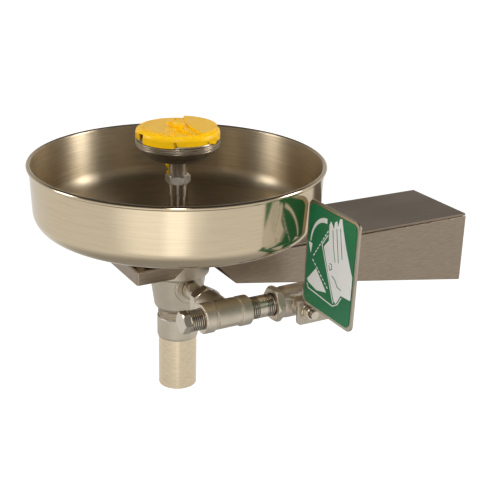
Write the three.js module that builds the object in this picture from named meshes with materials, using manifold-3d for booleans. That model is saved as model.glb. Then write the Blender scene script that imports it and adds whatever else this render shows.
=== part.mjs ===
// Wall-mounted eyewash station: a round stainless bowl on a folded bracket arm, a covered spray head
// on a stem in the middle of the bowl, and a ball valve worked by a push flag on the bowl's right.
//
// Millimetres, +Z up. The origin is the centre of the wall plate's back face: the wall is the plane
// Y = 0, the user stands at -Y and +X is the user's right.
import * as THREE from "three";
import { mergeVertices } from "three/addons/utils/BufferGeometryUtils.js";
import Module from "manifold-3d";

const wasm = await Module();
wasm.setup();

// ---- driving dimensions ----
const BOWL_Y = -324; // the bowl's axis, from the wall
const RIM_Z = 125; // the rim's widest circle, above the wall plate's centre
const GAP = 0.3; // clearance between pieces that touch in the real object

const RIM_R = 141; // outside of the rolled rim
const RIM_BEAD_R = 2.2; // radius of the roll
const BOWL_WALL_R = 136.9; // outside of the wall where the bottom corner starts
const BOWL_CORNER_R = 18;
const BOWL_CORNER_Z = -41.5; // where the wall ends, below the rim
const BOWL_SHEET = 1.2;
const CONE_SLOPE = THREE.MathUtils.degToRad(15); // fall of the floor to the drain
const DRAIN_SEAT_R = 33; // flat seat round the drain
const DRAIN_HOLE_R = 22.5;
const SEAT_Z = -84; // underside of the seat, below the rim

const ARM_TOP_Z = SEAT_Z - 1.5; // top face of the arm's top plate, below the rim
const ARM_SHEET = 2.5;
const ARM_WIDTH = 91;
const ARM_FRONT = -62.8; // front edge, from the bowl's axis
const ARM_LIP = 13.5; // depth of the turned-down lip at the front
const REST_X = 33; // screws that steady the bowl's underside
const REST_Y = -52.5;
const COVER_WIDTH = 93;
const COVER_SHEET = 1.2;
const COVER_BACK_Z = -163; // lower edge of the arm cover at the wall, below the rim
const COVER_FRONT_Z = -115.5; // and at its slanted front end
const COVER_FRONT_Y = 40.7; // lower front corner of the cover, from the bowl's axis
const COVER_NOSE_Y = 15; // upper front corner
const SCREW_Y = 285; // screws through the cover's bottom, from the bowl's axis
const WALL_PLATE = { width: 88, height: 70, thick: 3, holeR: 4.2, spacingX: 60, spacingZ: 44 };

const TAIL_R = 19.05; // inch-and-a-half tube
const TAIL_WALL = 1.6;
const TAIL_END_Z = -233; // below the rim

const PIPE_X = 92; // the supply line's axis, parallel to the arm
const PIPE_Z = -121; // below the rim
const NIPPLE_R = 10.65; // half-inch pipe
const SOCKET_R = NIPPLE_R + GAP;
const PORT_R = 8.55; // three-eighths pipe, used for the port and the stem
const STEM_Y = 76.3; // the valve stem's axis, from the bowl's axis
const BALL_R = 9.5;
const SEAT_BORE_R = 6.65;
const SEAT_REACH = 9; // back face of each ball seat, from the ball's centre
const STEM_R = 4;

const HEAD_Z = 2.7; // the spray head's own datum, above the rim
const HEAD_R = 39.6; // the spray head's cover
const HEAD_TOP_Z = 32; // above the head's datum
const HINGE_X = -42.3; // the cover's hinge line, at the top of its strap
const STRAP_TOP_Z = 20.1;

const FLAG = { width: 78, height: 100.5, thick: 2.5, left: 117, front: 70.8, bottom: -111.4, corner: 7 };
const FLAG_LEAN = THREE.MathUtils.degToRad(1.6);
const TAB_FACE_X = 120; // outer face of the tab that sits on the stem

const FINE = 48; // segments round the bowl
const ROUND = 24; // segments round a visible fitting
const INNER = 14; // segments round a hidden piece

// ---- making solids ----
const bare = (geometry) => {
  const plain = geometry.index ? geometry.toNonIndexed() : geometry.clone();
  plain.deleteAttribute("normal");
  plain.deleteAttribute("uv");
  const merged = mergeVertices(plain, 1e-4);
  const kept = [];
  const at = merged.index.array;
  for (let i = 0; i < at.length; i += 3) {
    const [a, b, c] = [at[i], at[i + 1], at[i + 2]];
    if (a !== b && b !== c && c !== a) kept.push(a, b, c);
  }
  merged.setIndex(kept);
  return merged;
};

// Six times the volume. It is below zero where the faces point inwards.
const signedVolume = (geometry) => {
  const p = geometry.attributes.position;
  const [a, b, c] = [new THREE.Vector3(), new THREE.Vector3(), new THREE.Vector3()];
  const at = geometry.index.array;
  let sum = 0;
  for (let i = 0; i < at.length; i += 3) {
    a.fromBufferAttribute(p, at[i]);
    b.fromBufferAttribute(p, at[i + 1]);
    c.fromBufferAttribute(p, at[i + 2]);
    sum += a.dot(b.cross(c));
  }
  return sum;
};

const closed = (geometry) => {
  const merged = bare(geometry);
  if (signedVolume(merged) < 0) merged.setIndex(Array.from(merged.index.array).reverse());
  return merged;
};

const toSolid = (geometry) => {
  const { attributes, index } = closed(geometry);
  return new wasm.Manifold(
    new wasm.Mesh({
      numProp: 3,
      vertProperties: new Float32Array(attributes.position.array),
      triVerts: new Uint32Array(index.array),
    }),
  );
};

const toGeometry = (solid) => {
  const mesh = solid.getMesh();
  const geometry = new THREE.BufferGeometry();
  geometry.setAttribute("position", new THREE.BufferAttribute(mesh.vertProperties, 3));
  geometry.setIndex(new THREE.BufferAttribute(mesh.triVerts, 1));
  return geometry;
};

const join = (...parts) => toGeometry(parts.map(toSolid).reduce((a, b) => a.add(b)));
const cut = (body, ...tools) =>
  toGeometry(tools.map(toSolid).reduce((a, b) => a.subtract(b), toSolid(body)));

// ---- simple shapes, standing on Z ----
const turned = (profile, segments = ROUND) =>
  new THREE.LatheGeometry(profile.map(([r, z]) => new THREE.Vector2(r, z)), segments).rotateX(Math.PI / 2);
const ring = (profile, segments) => turned([...profile, profile[0]], segments);
const rod = (r, z0, z1, segments = ROUND) => turned([[0, z0], [r, z0], [r, z1], [0, z1]], segments);
const tube = (r, bore, z0, z1, segments = ROUND) =>
  ring([[bore, z0], [r, z0], [r, z1], [bore, z1]], segments);
const block = (x0, x1, y0, y1, z0, z1) => {
  const box = new THREE.BoxGeometry(x1 - x0, y1 - y0, z1 - z0);
  return box.translate((x0 + x1) / 2, (y0 + y1) / 2, (z0 + z1) / 2);
};
const raised = (shape, z0, z1, curveSegments = INNER) => {
  const options = { depth: z1 - z0, bevelEnabled: false, curveSegments };
  return new THREE.ExtrudeGeometry(shape, options).translate(0, 0, z0);
};

const hexOutline = (acrossFlats) => {
  const r = acrossFlats / Math.sqrt(3);
  const corner = (i) => [r * Math.cos((i * Math.PI) / 3), r * Math.sin((i * Math.PI) / 3)];
  return new THREE.Shape([0, 1, 2, 3, 4, 5].map((i) => new THREE.Vector2(...corner(i))));
};
const hexRing = (acrossFlats, bore, z0, z1) => {
  const outline = hexOutline(acrossFlats);
  outline.holes.push(new THREE.Path().absarc(0, 0, bore, 0, 2 * Math.PI, true));
  return raised(outline, z0, z1);
};
const hexRod = (acrossFlats, z0, z1) => raised(hexOutline(acrossFlats), z0, z1);

// A flat outline of [Y, Z] points with rounded corners, extruded from x0 to x1.
const SIDEWAYS = new THREE.Matrix4().makeBasis(
  new THREE.Vector3(0, 1, 0),
  new THREE.Vector3(0, 0, 1),
  new THREE.Vector3(1, 0, 0),
);
const roundedShape = (points, radius) => {
  const shape = new THREE.Shape();
  points.forEach((here, i) => {
    const p = new THREE.Vector2(...here);
    const before = new THREE.Vector2(...points[(i + points.length - 1) % points.length]);
    const after = new THREE.Vector2(...points[(i + 1) % points.length]);
    const start = p.clone().add(before.sub(p).setLength(radius));
    const end = p.clone().add(after.sub(p).setLength(radius));
    if (i === 0) shape.moveTo(start.x, start.y);
    else shape.lineTo(start.x, start.y);
    shape.quadraticCurveTo(p.x, p.y, end.x, end.y);
  });
  shape.closePath();
  return shape;
};
const sidePlate = (points, x0, x1, radius = 0) => {
  const shape = radius
    ? roundedShape(points, radius)
    : new THREE.Shape(points.map(([y, z]) => new THREE.Vector2(y, z)));
  return raised(shape, 0, x1 - x0, 4).applyMatrix4(SIDEWAYS).translate(x0, 0, 0);
};

// ---- finishes ----
const finish = (color, metalness, roughness) => ({ color, metalness, roughness });
const BRUSHED = finish(0xb4a78f, 1, 0.35);
const SATIN = finish(0x7c6e5a, 1, 0.45);
const CAST = finish(0xb5ab9a, 1, 0.55);
const MACHINED = finish(0xc9c0b0, 1, 0.25);
const DARK_CHROME = finish(0x4a4238, 1, 0.3);
const YELLOW = finish(0xfecc00, 0, 0.4);
const GREEN = finish(0x197646, 0, 0.4);
const BLACK = finish(0x17181a, 0, 0.6);
const WHITE = finish(0xe9e7e0, 0, 0.5);

const piece = (group, name, geometry, look) => {
  const mesh = new THREE.Mesh(closed(geometry), new THREE.MeshStandardMaterial(look));
  mesh.name = name;
  group.add(mesh);
  return mesh;
};

const station = new THREE.Group();

// Everything round the bowl is placed from the bowl's axis and the rim's height.
const bowlFrame = new THREE.Group();
bowlFrame.position.set(0, BOWL_Y, RIM_Z);
station.add(bowlFrame);
const headFrame = new THREE.Group();
headFrame.position.z = HEAD_Z;
bowlFrame.add(headFrame);

// ---- bowl and drain ----
function bowl() {
  const bead = RIM_R - RIM_BEAD_R;
  const cornerR = BOWL_WALL_R - BOWL_CORNER_R;
  const arc = (radius, steps) =>
    Array.from({ length: steps + 1 }, (_, i) => {
      const turn = (i / steps) * (Math.PI / 2 - CONE_SLOPE);
      return [cornerR + radius * Math.cos(turn), BOWL_CORNER_Z - radius * Math.sin(turn)];
    });
  const roll = [180, 135, 90, 45, 0, -45].map((degrees) => {
    const turn = THREE.MathUtils.degToRad(degrees);
    return [bead + RIM_BEAD_R * Math.cos(turn), RIM_BEAD_R * Math.sin(turn)];
  });
  const outside = [[BOWL_WALL_R + 1.5, -RIM_BEAD_R], ...arc(BOWL_CORNER_R, 6), [DRAIN_SEAT_R, SEAT_Z]];
  const inside = [...arc(BOWL_CORNER_R - BOWL_SHEET, 6)].reverse();
  const floor = SEAT_Z + BOWL_SHEET;
  const seat = [[DRAIN_HOLE_R, SEAT_Z], [DRAIN_HOLE_R, floor], [DRAIN_SEAT_R, floor]];
  piece(bowlFrame, "bowl", ring([...roll, ...outside, ...seat, ...inside], FINE), BRUSHED);
}

function drain() {
  const under = SEAT_Z - GAP;
  const gasket = tube(DRAIN_SEAT_R - 1, DRAIN_HOLE_R + 1, under - 0.9, under, INNER);
  piece(bowlFrame, "bowl_gasket", gasket, BLACK);

  // Flange inside the bowl, with eight slots round the stem and a threaded skirt into the waste body.
  const seat = SEAT_Z + BOWL_SHEET + GAP;
  const skirt = [[18.6, seat], [18.6, -103], [21.6, -103], [21.6, seat]];
  const flange = [[30, seat], [29.2, seat + 2], [9.2, seat + 2], [9.2, seat]];
  const slot = block(11.6, 16.6, -1.6, 1.6, seat - 1, seat + 3);
  const slots = Array.from({ length: 8 }, (_, i) => slot.clone().rotateZ((i * Math.PI) / 4));
  piece(bowlFrame, "drain_strainer", cut(ring([...skirt, ...flange]), ...slots), MACHINED);
}

// Cast body: it hangs under the arm, takes the drain's thread, carries the stem in a central boss
// that the side port feeds, and lets the waste water past the boss to the tail.
function wasteBody() {
  const top = ARM_TOP_Z - ARM_SHEET - GAP;
  const flange = [[31, top], [31, -111]];
  const cup = [[27.6, -113], [25.1, -130], [23, -145.3], [19.6, -150], [19.6, -157.4]];
  const cavity = [[16.6, -157.4], [17.6, -146], [21.8, -128], [22, -104], [22, top]];
  const shell = ring([...flange, ...cup, ...cavity]);
  const boss = rod(12, -134, -104, INNER);
  const pad = rod(14.5, 15, 27.5).rotateY(Math.PI / 2).translate(0, 0, PIPE_Z);
  const bridge = rod(10, 0, 24, INNER).rotateY(Math.PI / 2).translate(0, 0, PIPE_Z);
  const web = block(-23, 0, -2, 2, -130, -108);
  const padCore = rod(21.9, -140, -104);
  const padOutside = cut(pad, padCore);
  const socket = rod(PORT_R + GAP, 14, 40, INNER).rotateY(Math.PI / 2).translate(0, 0, PIPE_Z);
  const passage = rod(6, 0, 30, INNER).rotateY(Math.PI / 2).translate(0, 0, PIPE_Z);
  const riser = rod(PORT_R + GAP, -112, -90, INNER);
  const way = rod(6, PIPE_Z, -100, INNER);
  const body = cut(join(shell, boss, padOutside, bridge, web), socket, passage, riser, way);
  piece(bowlFrame, "waste_body", body, CAST);
}

function tail() {
  const bore = TAIL_R - TAIL_WALL;
  const outside = [[20.2, -157.8], [20.3, -159], [20.3, -178], [19.9, -179.6]];
  const inside = [[19.4, -179.6], [19.4, -162], [19.9, -162], [19.9, -157.8]];
  piece(bowlFrame, "tail_nut", ring([...outside, ...inside]), CAST);
  piece(bowlFrame, "tail_washer", tube(19.1, 16.8, -161.5, -157.7, INNER), WHITE);
  piece(bowlFrame, "tailpiece", tube(TAIL_R, bore, TAIL_END_Z, -161.8), MACHINED);
}

// ---- stem and spray head ----
function stem() {
  piece(bowlFrame, "stem_pipe", tube(PORT_R, 6.2, -111.7, -24), DARK_CHROME);
  piece(bowlFrame, "stem_collar", tube(9.5, PORT_R + GAP, -32.1, -20.9), DARK_CHROME);
  const hex = cut(hexRing(21, 6.2, -20.6, -12.3), rod(PORT_R + GAP, -25, -16.5, INNER));
  piece(bowlFrame, "stem_nut", cut(hex, rod(7.2, -16.8, -10, INNER)), DARK_CHROME);
}

function head() {
  const neck = [[4.6, -18.4], [6.9, -18.4], [6.9, -14.6], [8.3, -14.6], [8.3, -0.6]];
  const dish = [[15, 0.4], [27, 2], [30.6, 5], [33.9, 9], [34.2, 17.6]];
  const hollow = [[32.6, 17.6], [32, 9.8], [28.6, 6.4], [25.6, 4], [8, 2.2], [4.6, 0.5]];
  piece(headFrame, "head_shell", ring([...neck, ...dish, ...hollow]), BLACK);
  const flutes = [[34.6, 9.3], [37.4, 10.8], [38.9, 12.8], [38.4, 13.6], [39.6, 14.6], [39.9, 17.4]];
  const lip = [[39.2, 19.3], [37.4, 19.6], [37.4, 21], [36, 21], [36, 18.2], [34.6, 18.2]];
  piece(headFrame, "head_ring", ring([...flutes, ...lip]), DARK_CHROME);
  const jet = rod(1.6, 15, 25, 8).translate(6, 0, 0);
  const cluster = Array.from({ length: 6 }, (_, i) => jet.clone().rotateZ((i * Math.PI) / 3));
  const jets = [-18, 18].flatMap((x) => cluster.map((hole) => hole.clone().translate(x, 0, 0)));
  piece(headFrame, "spray_plate", cut(rod(35.6, 18.5, 20.4), ...jets), WHITE);
  piece(headFrame, "spray_screen", tube(31.6, 3, 15.6, 16.6, INNER), MACHINED);
  piece(headFrame, "flow_control", tube(4.3, 1.8, -14, -6, INNER), BLACK);
}

function dustCover() {
  const inner = HEAD_R - 1.9;
  const under = [[0, HEAD_TOP_Z - 2], [33.5, HEAD_TOP_Z - 2], [inner - 1.2, 28], [inner, 24], [inner, 21.7]];
  const skirt = [[HEAD_R, 21.7], [HEAD_R, 24.6], [38.9, 29], [36.6, 31.2], [33.5, HEAD_TOP_Z]];
  const boss = [[6.2, HEAD_TOP_Z], [5.6, HEAD_TOP_Z + 1.8], [0, HEAD_TOP_Z + 1.8]];
  const shell = turned([...under, ...skirt, ...boss], 40);
  const lug = block(HINGE_X + GAP, -37.9, -4, 4, 22, 24.4);
  const window = block(-4.5, 4.5, -45, -30, 20, 28.6);
  const tongue = block(-3.6, -0.6, -39.3, -37.9, 22.6, 29.5);
  piece(headFrame, "dust_cover", join(cut(shell, window), lug, tongue), YELLOW);

  // Strap: from a C-shaped clip on the neck, out under the head and up its side to the cover's edge.
  const clip = cut(tube(10.8, 8.6, -14.3, -12.1), block(-2, 12, -12, 12, -16, -11));
  const route = [[-9.4, -13.2], [-17, -13], [-24, -8.2], [-32, -1.7], [-38.5, 6.8], [-42.6, 13.3]];
  route.push([HINGE_X, STRAP_TOP_Z]);
  const half = 0.7;
  const centre = route.map(([x, z]) => new THREE.Vector2(x, z));
  const side = (sign) =>
    centre.map((p, i) => {
      const next = centre[Math.min(i + 1, centre.length - 1)];
      const along = next.clone().sub(centre[Math.max(i - 1, 0)]).normalize();
      return p.clone().add(new THREE.Vector2(-along.y, along.x).multiplyScalar(sign * half));
    });
  const outline = new THREE.Shape([...side(1), ...side(-1).reverse()]);
  const band = raised(outline, -3.5, 3.5).rotateX(Math.PI / 2);
  piece(headFrame, "cover_strap", join(clip, band), YELLOW);
}

// ---- bracket arm ----
function arm() {
  const half = ARM_WIDTH / 2;
  const wall = -BOWL_Y;
  const low = ARM_TOP_Z - ARM_LIP;
  const under = ARM_TOP_Z - ARM_SHEET;
  const plate = block(-half, half, ARM_FRONT, wall - GAP, under, ARM_TOP_Z);
  const front = block(-half, half, ARM_FRONT, ARM_FRONT + ARM_SHEET, low, under + 1);
  const lip = [[ARM_FRONT, low], [-26.7, low], [-11.3, under + 1], [ARM_FRONT, under + 1]];
  const lips = [sidePlate(lip, half - ARM_SHEET, half), sidePlate(lip, -half, ARM_SHEET - half)];
  const drainHole = rod(DRAIN_HOLE_R, under - 1, ARM_TOP_Z + 1);
  const restHole = rod(2.4, under - 1, ARM_TOP_Z + 1, 12);
  const restHoles = [-1, 1].map((side) => restHole.clone().translate(side * REST_X, REST_Y, 0));
  piece(bowlFrame, "arm_plate", cut(join(plate, front, ...lips), drainHole, ...restHoles), SATIN);

  // Two gussets stand on edge under the plate and carry the load back to the wall plate.
  const back = wall - WALL_PLATE.thick - GAP;
  const rib = [[58, under - GAP], [58, -100], [back, -152], [back, under - GAP]];
  piece(bowlFrame, "arm_gusset_left", sidePlate(rib, -21.5, -18.5), SATIN);
  piece(bowlFrame, "arm_gusset_right", sidePlate(rib, 18.5, 21.5), SATIN);
}

// Screws with nuts that steady the bowl's underside at the front of the arm.
function bowlRests() {
  [["left", -1], ["right", 1]].forEach(([word, side]) => {
    const place = new THREE.Group();
    place.position.set(side * REST_X, REST_Y, ARM_TOP_Z);
    bowlFrame.add(place);
    const shank = rod(2.1, -9, 1, 12);
    piece(place, `bowl_rest_screw_${word}`, join(hexRod(8, GAP, 4.6), shank), MACHINED);
    piece(place, `bowl_rest_nut_${word}`, hexRing(8, 2.4, -6, -ARM_SHEET - GAP), MACHINED);
  });
}

// Folded cover: two side panels and a sloping bottom, hung under the arm's plate.
function armCover() {
  const half = COVER_WIDTH / 2;
  const wall = -BOWL_Y - 0.2;
  const top = ARM_TOP_Z - ARM_SHEET - GAP;
  const side = [[COVER_NOSE_Y, top], [COVER_FRONT_Y, COVER_FRONT_Z], [wall, COVER_BACK_Z], [wall, top]];
  const sides = [sidePlate(side, half - COVER_SHEET, half), sidePlate(side, -half, COVER_SHEET - half)];
  const bottom = [
    [COVER_FRONT_Y, COVER_FRONT_Z],
    [wall, COVER_BACK_Z],
    [wall, COVER_BACK_Z + COVER_SHEET],
    [COVER_FRONT_Y, COVER_FRONT_Z + COVER_SHEET],
  ];
  const holes = [-20, 20].map((x) => rod(2.4, -170, -140, 12).translate(x, SCREW_Y, 0));
  piece(bowlFrame, "arm_cover", cut(join(...sides, sidePlate(bottom, -half, half)), ...holes), SATIN);
}

// Screws up through the cover's bottom.
function coverScrews() {
  const slope = (COVER_BACK_Z - COVER_FRONT_Z) / (-BOWL_Y - COVER_FRONT_Y);
  const z = COVER_FRONT_Z + slope * (SCREW_Y - COVER_FRONT_Y);
  [["left", -20], ["right", 20]].forEach(([word, x]) => {
    const screw = join(rod(4, -3.4, -0.8, 12), rod(2, -1, 6, 12)).translate(x, SCREW_Y, z);
    piece(bowlFrame, `cover_screw_${word}`, screw, MACHINED);
  });
}

function wallPlate() {
  const { width, height, thick, holeR, spacingX, spacingZ } = WALL_PLATE;
  const plate = block(-width / 2, width / 2, -thick, 0, -height / 2, height / 2);
  const hole = rod(holeR, -10, 10, INNER).rotateX(Math.PI / 2);
  const holes = [[-1, -1], [1, -1], [1, 1], [-1, 1]].map(([x, z]) =>
    hole.clone().translate((x * spacingX) / 2, 0, (z * spacingZ) / 2),
  );
  piece(station, "wall_plate", cut(plate, ...holes), SATIN);
}

// ---- supply line ----
// The branch runs along +X from the waste body's port; the line itself runs along +Y.
const branch = new THREE.Group();
branch.position.set(0, 0, PIPE_Z);
branch.rotation.y = Math.PI / 2;
bowlFrame.add(branch);
const line = new THREE.Group();
line.position.set(PIPE_X, 0, PIPE_Z);
line.rotation.x = -Math.PI / 2;
bowlFrame.add(line);

function portFittings() {
  piece(branch, "port_nipple", tube(PORT_R, 6, 15, 58.4), MACHINED);
  const hex = cut(hexRing(27, 6, 54, 64.7), rod(PORT_R + GAP, 50, 58.7, INNER));
  piece(branch, "port_bushing", join(hex, tube(10.4, 6, 64.5, 76, INNER)), MACHINED);
}

function strainer() {
  const collars = [
    [13.6, -21.4], [14.2, -20.6], [14.2, -11.5], [12.8, -10.7],
    [12.8, 15.7], [14.2, 16.5], [14.2, 26], [13.6, 26.8],
  ];
  const sockets = [
    [SOCKET_R, 26.8], [SOCKET_R, 13.5], [7.5, 13.5], [7.5, -10.6], [10.2, -10.6], [10.2, -21.4],
  ];
  const barrel = ring([...collars, ...sockets]);
  // In this group's own axes the branch leaves along -X.
  const toBranch = (geometry) => geometry.rotateY(-Math.PI / 2);
  const arm = toBranch(rod(14, 6, 27));
  const clear = rod(7.5, -10.5, 13.4);
  const port = toBranch(rod(10.7, 15, 30, INNER));
  const way = toBranch(rod(6.5, 0, 20, INNER));
  const tee = join(barrel, cut(arm, rod(12.3, -20, 20)));
  piece(line, "strainer_body", cut(tee, clear, port, way), CAST);
  piece(line, "strainer_screen", tube(6.8, 6.1, -30, 13, INNER), MACHINED);
  const threaded = tube(9.9, 7.2, -31.4, -11, INNER);
  const plug = join(hexRod(18.5, -41.5, -34), rod(9.9, -34.1, -31, INNER), threaded);
  piece(line, "strainer_plug", plug, MACHINED);
  piece(line, "valve_nipple", tube(NIPPLE_R, 7.9, 14, 62), MACHINED);
}

function valve() {
  const seatFront = STEM_Y - SEAT_REACH - 0.4;
  const seatBack = STEM_Y + SEAT_REACH + 0.5;
  const spigot = tube(11.6, 6.5, 62.6, seatFront, INNER);
  const neck = tube(11.6, SOCKET_R, 59.8, 62.8, INNER);
  piece(line, "valve_end", join(hexRing(30, SOCKET_R, 52.6, 60), neck, spigot), CAST);

  const outside = [[14.6, 60.3], [15.2, 66], [15.2, 87], [14, 98], [14, 101]];
  const inside = [
    [SOCKET_R, 101], [SOCKET_R, 95], [6.5, 93], [6.5, seatBack], [12, seatBack], [12, 60.3],
  ];
  const barrel = ring([...outside, ...inside]);
  const farHex = hexRing(30, SOCKET_R, 98, 109);
  const toStem = (geometry) => geometry.rotateY(Math.PI / 2).translate(0, 0, STEM_Y);
  const boss = toStem(rod(8.4, 11, 19, INNER));
  const chamber = rod(12, 61, 85);
  const stemHole = toStem(rod(STEM_R + GAP, 5, 30, INNER));
  const packingHole = toStem(rod(6.9, 14, 30, INNER));
  piece(line, "valve_body", cut(join(barrel, farHex, cut(boss, chamber)), stemHole, packingHole), CAST);

  const back = -SEAT_REACH;
  const seat = [[SEAT_BORE_R, back], [11.6, back], [11.6, -5.4], [8.2, -5.4], [SEAT_BORE_R, -7.2]];
  piece(line, "valve_seat_front", ring(seat, INNER).translate(0, 0, STEM_Y), WHITE);
  piece(line, "valve_seat_back", ring(seat, INNER).rotateX(Math.PI).translate(0, 0, STEM_Y), WHITE);

  // The rest is turned about the stem, which points along +X from the ball's centre.
  const drive = new THREE.Group();
  drive.position.set(PIPE_X, STEM_Y, PIPE_Z);
  drive.rotation.y = Math.PI / 2;
  bowlFrame.add(drive);
  const across = (geometry) => geometry.rotateY(Math.PI / 2);
  const ball = new THREE.SphereGeometry(BALL_R, 24, 16);
  const notch = block(-5, 5, -2.3, 2.3, 7, 12);
  piece(drive, "valve_ball", cut(ball, across(rod(5.5, -12, 12, INNER)), notch), MACHINED);
  const shaft = join(block(-3.2, 3.2, -2, 2, 7.4, 9.6), rod(3.9, 9.5, TAB_FACE_X + 12 - PIPE_X, INNER));
  piece(drive, "valve_stem", shaft, MACHINED);
  piece(drive, "stem_packing", tube(6.6, STEM_R + GAP, 14.3, 16.2, INNER), WHITE);
  const gland = join(hexRing(15, STEM_R + GAP, 19.3, 23.6), tube(6.6, STEM_R + GAP, 16.5, 19.5, INNER));
  piece(drive, "gland_nut", gland, MACHINED);
  const face = TAB_FACE_X - PIPE_X;
  piece(drive, "flag_washer", tube(8.2, STEM_R + GAP, face + GAP, face + 1.5, INNER), MACHINED);
  piece(drive, "flag_nut", hexRing(13, STEM_R + GAP, face + 1.8, face + 7.8), MACHINED);
}

// ---- push flag ----
// One bent sheet: the plate that the hand pushes, and a tab behind its left edge that sits on the stem.
function pushFlag() {
  const { width, height, thick, left, front, bottom, corner } = FLAG;
  const outline = (inset, radius) =>
    roundedShape(
      [[inset, inset], [width - inset, inset], [width - inset, height - inset], [inset, height - inset]],
      radius,
    );
  const stand = (geometry) => geometry.rotateX(Math.PI / 2 - FLAG_LEAN).translate(left, front, bottom);
  const plate = stand(raised(outline(0, corner), -thick, 0, 4));
  const tabPoints = [
    [64.8, -134.3],
    [104, -134.3],
    [104, -71],
    [front + thick - 0.5, -71],
    [front + 1, -110],
    [64.8, -110],
  ];
  const tab = cut(
    sidePlate(tabPoints, left, TAB_FACE_X, 5),
    rod(STEM_R + GAP, 100, 130, INNER).rotateY(Math.PI / 2).translate(0, STEM_Y, PIPE_Z),
  );
  piece(bowlFrame, "push_flag", join(plate, tab), MACHINED);
  piece(bowlFrame, "flag_label", stand(raised(outline(4.5, 6), GAP, GAP + 0.5, 4)), GREEN);
}

bowl();
drain();
wasteBody();
tail();
stem();
head();
dustCover();
arm();
bowlRests();
armCover();
coverScrews();
wallPlate();
portFittings();
strainer();
valve();
pushFlag();

export default station;
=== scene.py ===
"""Looks for the wall-mounted eyewash station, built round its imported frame.

Every size below is in millimetres from a datum that the frame gives: the bowl's axis and the
height of its rolled rim, with +Z up, the wall at +Y and the user at -Y.
"""

from math import cos, pi, radians, sin

import bmesh
import bpy
from bpy.props import FloatProperty, FloatVectorProperty, IntProperty, PointerProperty
from mathutils import Matrix, Vector


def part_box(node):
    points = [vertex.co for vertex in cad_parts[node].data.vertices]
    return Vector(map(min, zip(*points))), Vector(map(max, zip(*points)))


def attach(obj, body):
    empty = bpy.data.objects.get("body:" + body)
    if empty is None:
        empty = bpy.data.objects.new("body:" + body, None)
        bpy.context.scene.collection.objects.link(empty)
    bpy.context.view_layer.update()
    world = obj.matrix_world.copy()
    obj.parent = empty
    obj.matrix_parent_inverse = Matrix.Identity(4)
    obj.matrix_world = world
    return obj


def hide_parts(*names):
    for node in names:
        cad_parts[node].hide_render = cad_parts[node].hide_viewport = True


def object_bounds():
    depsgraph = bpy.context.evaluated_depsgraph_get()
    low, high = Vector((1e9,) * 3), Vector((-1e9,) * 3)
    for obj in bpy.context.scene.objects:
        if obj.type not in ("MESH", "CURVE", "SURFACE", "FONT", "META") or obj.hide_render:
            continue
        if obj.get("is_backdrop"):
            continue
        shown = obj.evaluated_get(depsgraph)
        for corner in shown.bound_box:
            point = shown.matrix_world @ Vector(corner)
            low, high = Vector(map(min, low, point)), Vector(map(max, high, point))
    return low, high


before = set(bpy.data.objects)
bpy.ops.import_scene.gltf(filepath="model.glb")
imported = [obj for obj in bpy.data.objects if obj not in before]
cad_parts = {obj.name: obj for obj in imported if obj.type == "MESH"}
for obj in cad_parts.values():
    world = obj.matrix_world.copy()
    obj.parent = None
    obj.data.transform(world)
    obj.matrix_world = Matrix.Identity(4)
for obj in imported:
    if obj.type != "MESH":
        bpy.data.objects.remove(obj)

bl_info = {
    "name": "Eyewash Station",
    "version": (1, 0, 0),
    "blender": (4, 5, 0),
    "location": "View3D > Sidebar > Eyewash",
    "description": "Builds the detailed pieces, finishes and stage of a wall-mounted eyewash station",
    "category": "Add Mesh",
}

# ---- datums taken from the frame ----
BOWL_LOW, BOWL_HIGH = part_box("bowl")
BEAD_R = 2.2
RIM = Vector(((BOWL_LOW.x + BOWL_HIGH.x) / 2, (BOWL_LOW.y + BOWL_HIGH.y) / 2, BOWL_HIGH.z - BEAD_R / 1000))
WALL_Y = -RIM.y * 1000
MM = Matrix.Translation(RIM) @ Matrix.Scale(0.001, 4)

PIPE_X, PIPE_Z, STEM_Y = 92.0, -121.0, 76.3
# Outside radii of the riser and port pipe, of the valve nipple, plug thread, and valve stem.
PIPE_R, NIPPLE_R, PLUG_R, STEM_R = 8.55, 10.65, 9.9, 3.95
AT_BOWL = Matrix.Identity(4)
HEAD_LIFT = Vector((0, 0, 2.7))
AT_HEAD = Matrix.Translation(HEAD_LIFT)
ALONG_X = Matrix.Rotation(radians(90), 4, "Y")
ALONG_Y = Matrix.Rotation(radians(-90), 4, "X")
AT_BRANCH = Matrix.Translation((0, 0, PIPE_Z)) @ ALONG_X
AT_LINE = Matrix.Translation((PIPE_X, 0, PIPE_Z)) @ ALONG_Y
AT_STEM = Matrix.Translation((PIPE_X, STEM_Y, PIPE_Z)) @ ALONG_X


# ---- settings ----
def colour(name, description, value):
    return FloatVectorProperty(
        name=name, description=description, subtype="COLOR", size=3, min=0.0, max=1.0, default=value
    )


def length(name, description, value, low, high):
    return FloatProperty(name=name, description=description, default=value, min=low, max=high)


class EyewashSizes(bpy.types.PropertyGroup):
    """Details that don't change the station's overall size, in millimetres."""

    turn_steps: IntProperty(
        name="Turning steps", description="Facets round a turned fitting", default=64, min=16, max=192
    )
    bowl_steps: IntProperty(
        name="Bowl steps", description="Facets round the bowl", default=160, min=48, max=256
    )
    bowl_sheet: length("Bowl sheet", "Thickness of the spun bowl, mm", 1.2, 0.6, 2.0)
    arm_sheet: length("Arm sheet", "Thickness of the folded arm, mm", 2.5, 1.0, 3.0)
    cover_sheet: length("Cover sheet", "Thickness of the arm's cover, mm", 1.2, 0.6, 2.0)
    fold_radius: length("Fold radius", "Outside radius of a folded corner, mm", 2.2, 0.5, 4.0)
    hex_break: length("Hexagon break", "Width of the broken edges on hexagons, mm", 0.3, 0.05, 0.6)
    thread_pitch: length("Thread pitch", "Spacing of pipe thread crests, mm", 1.9, 0.8, 2.5)
    thread_depth: length("Thread depth", "Depth of pipe thread grooves, mm", 0.85, 0.2, 1.0)


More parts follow.
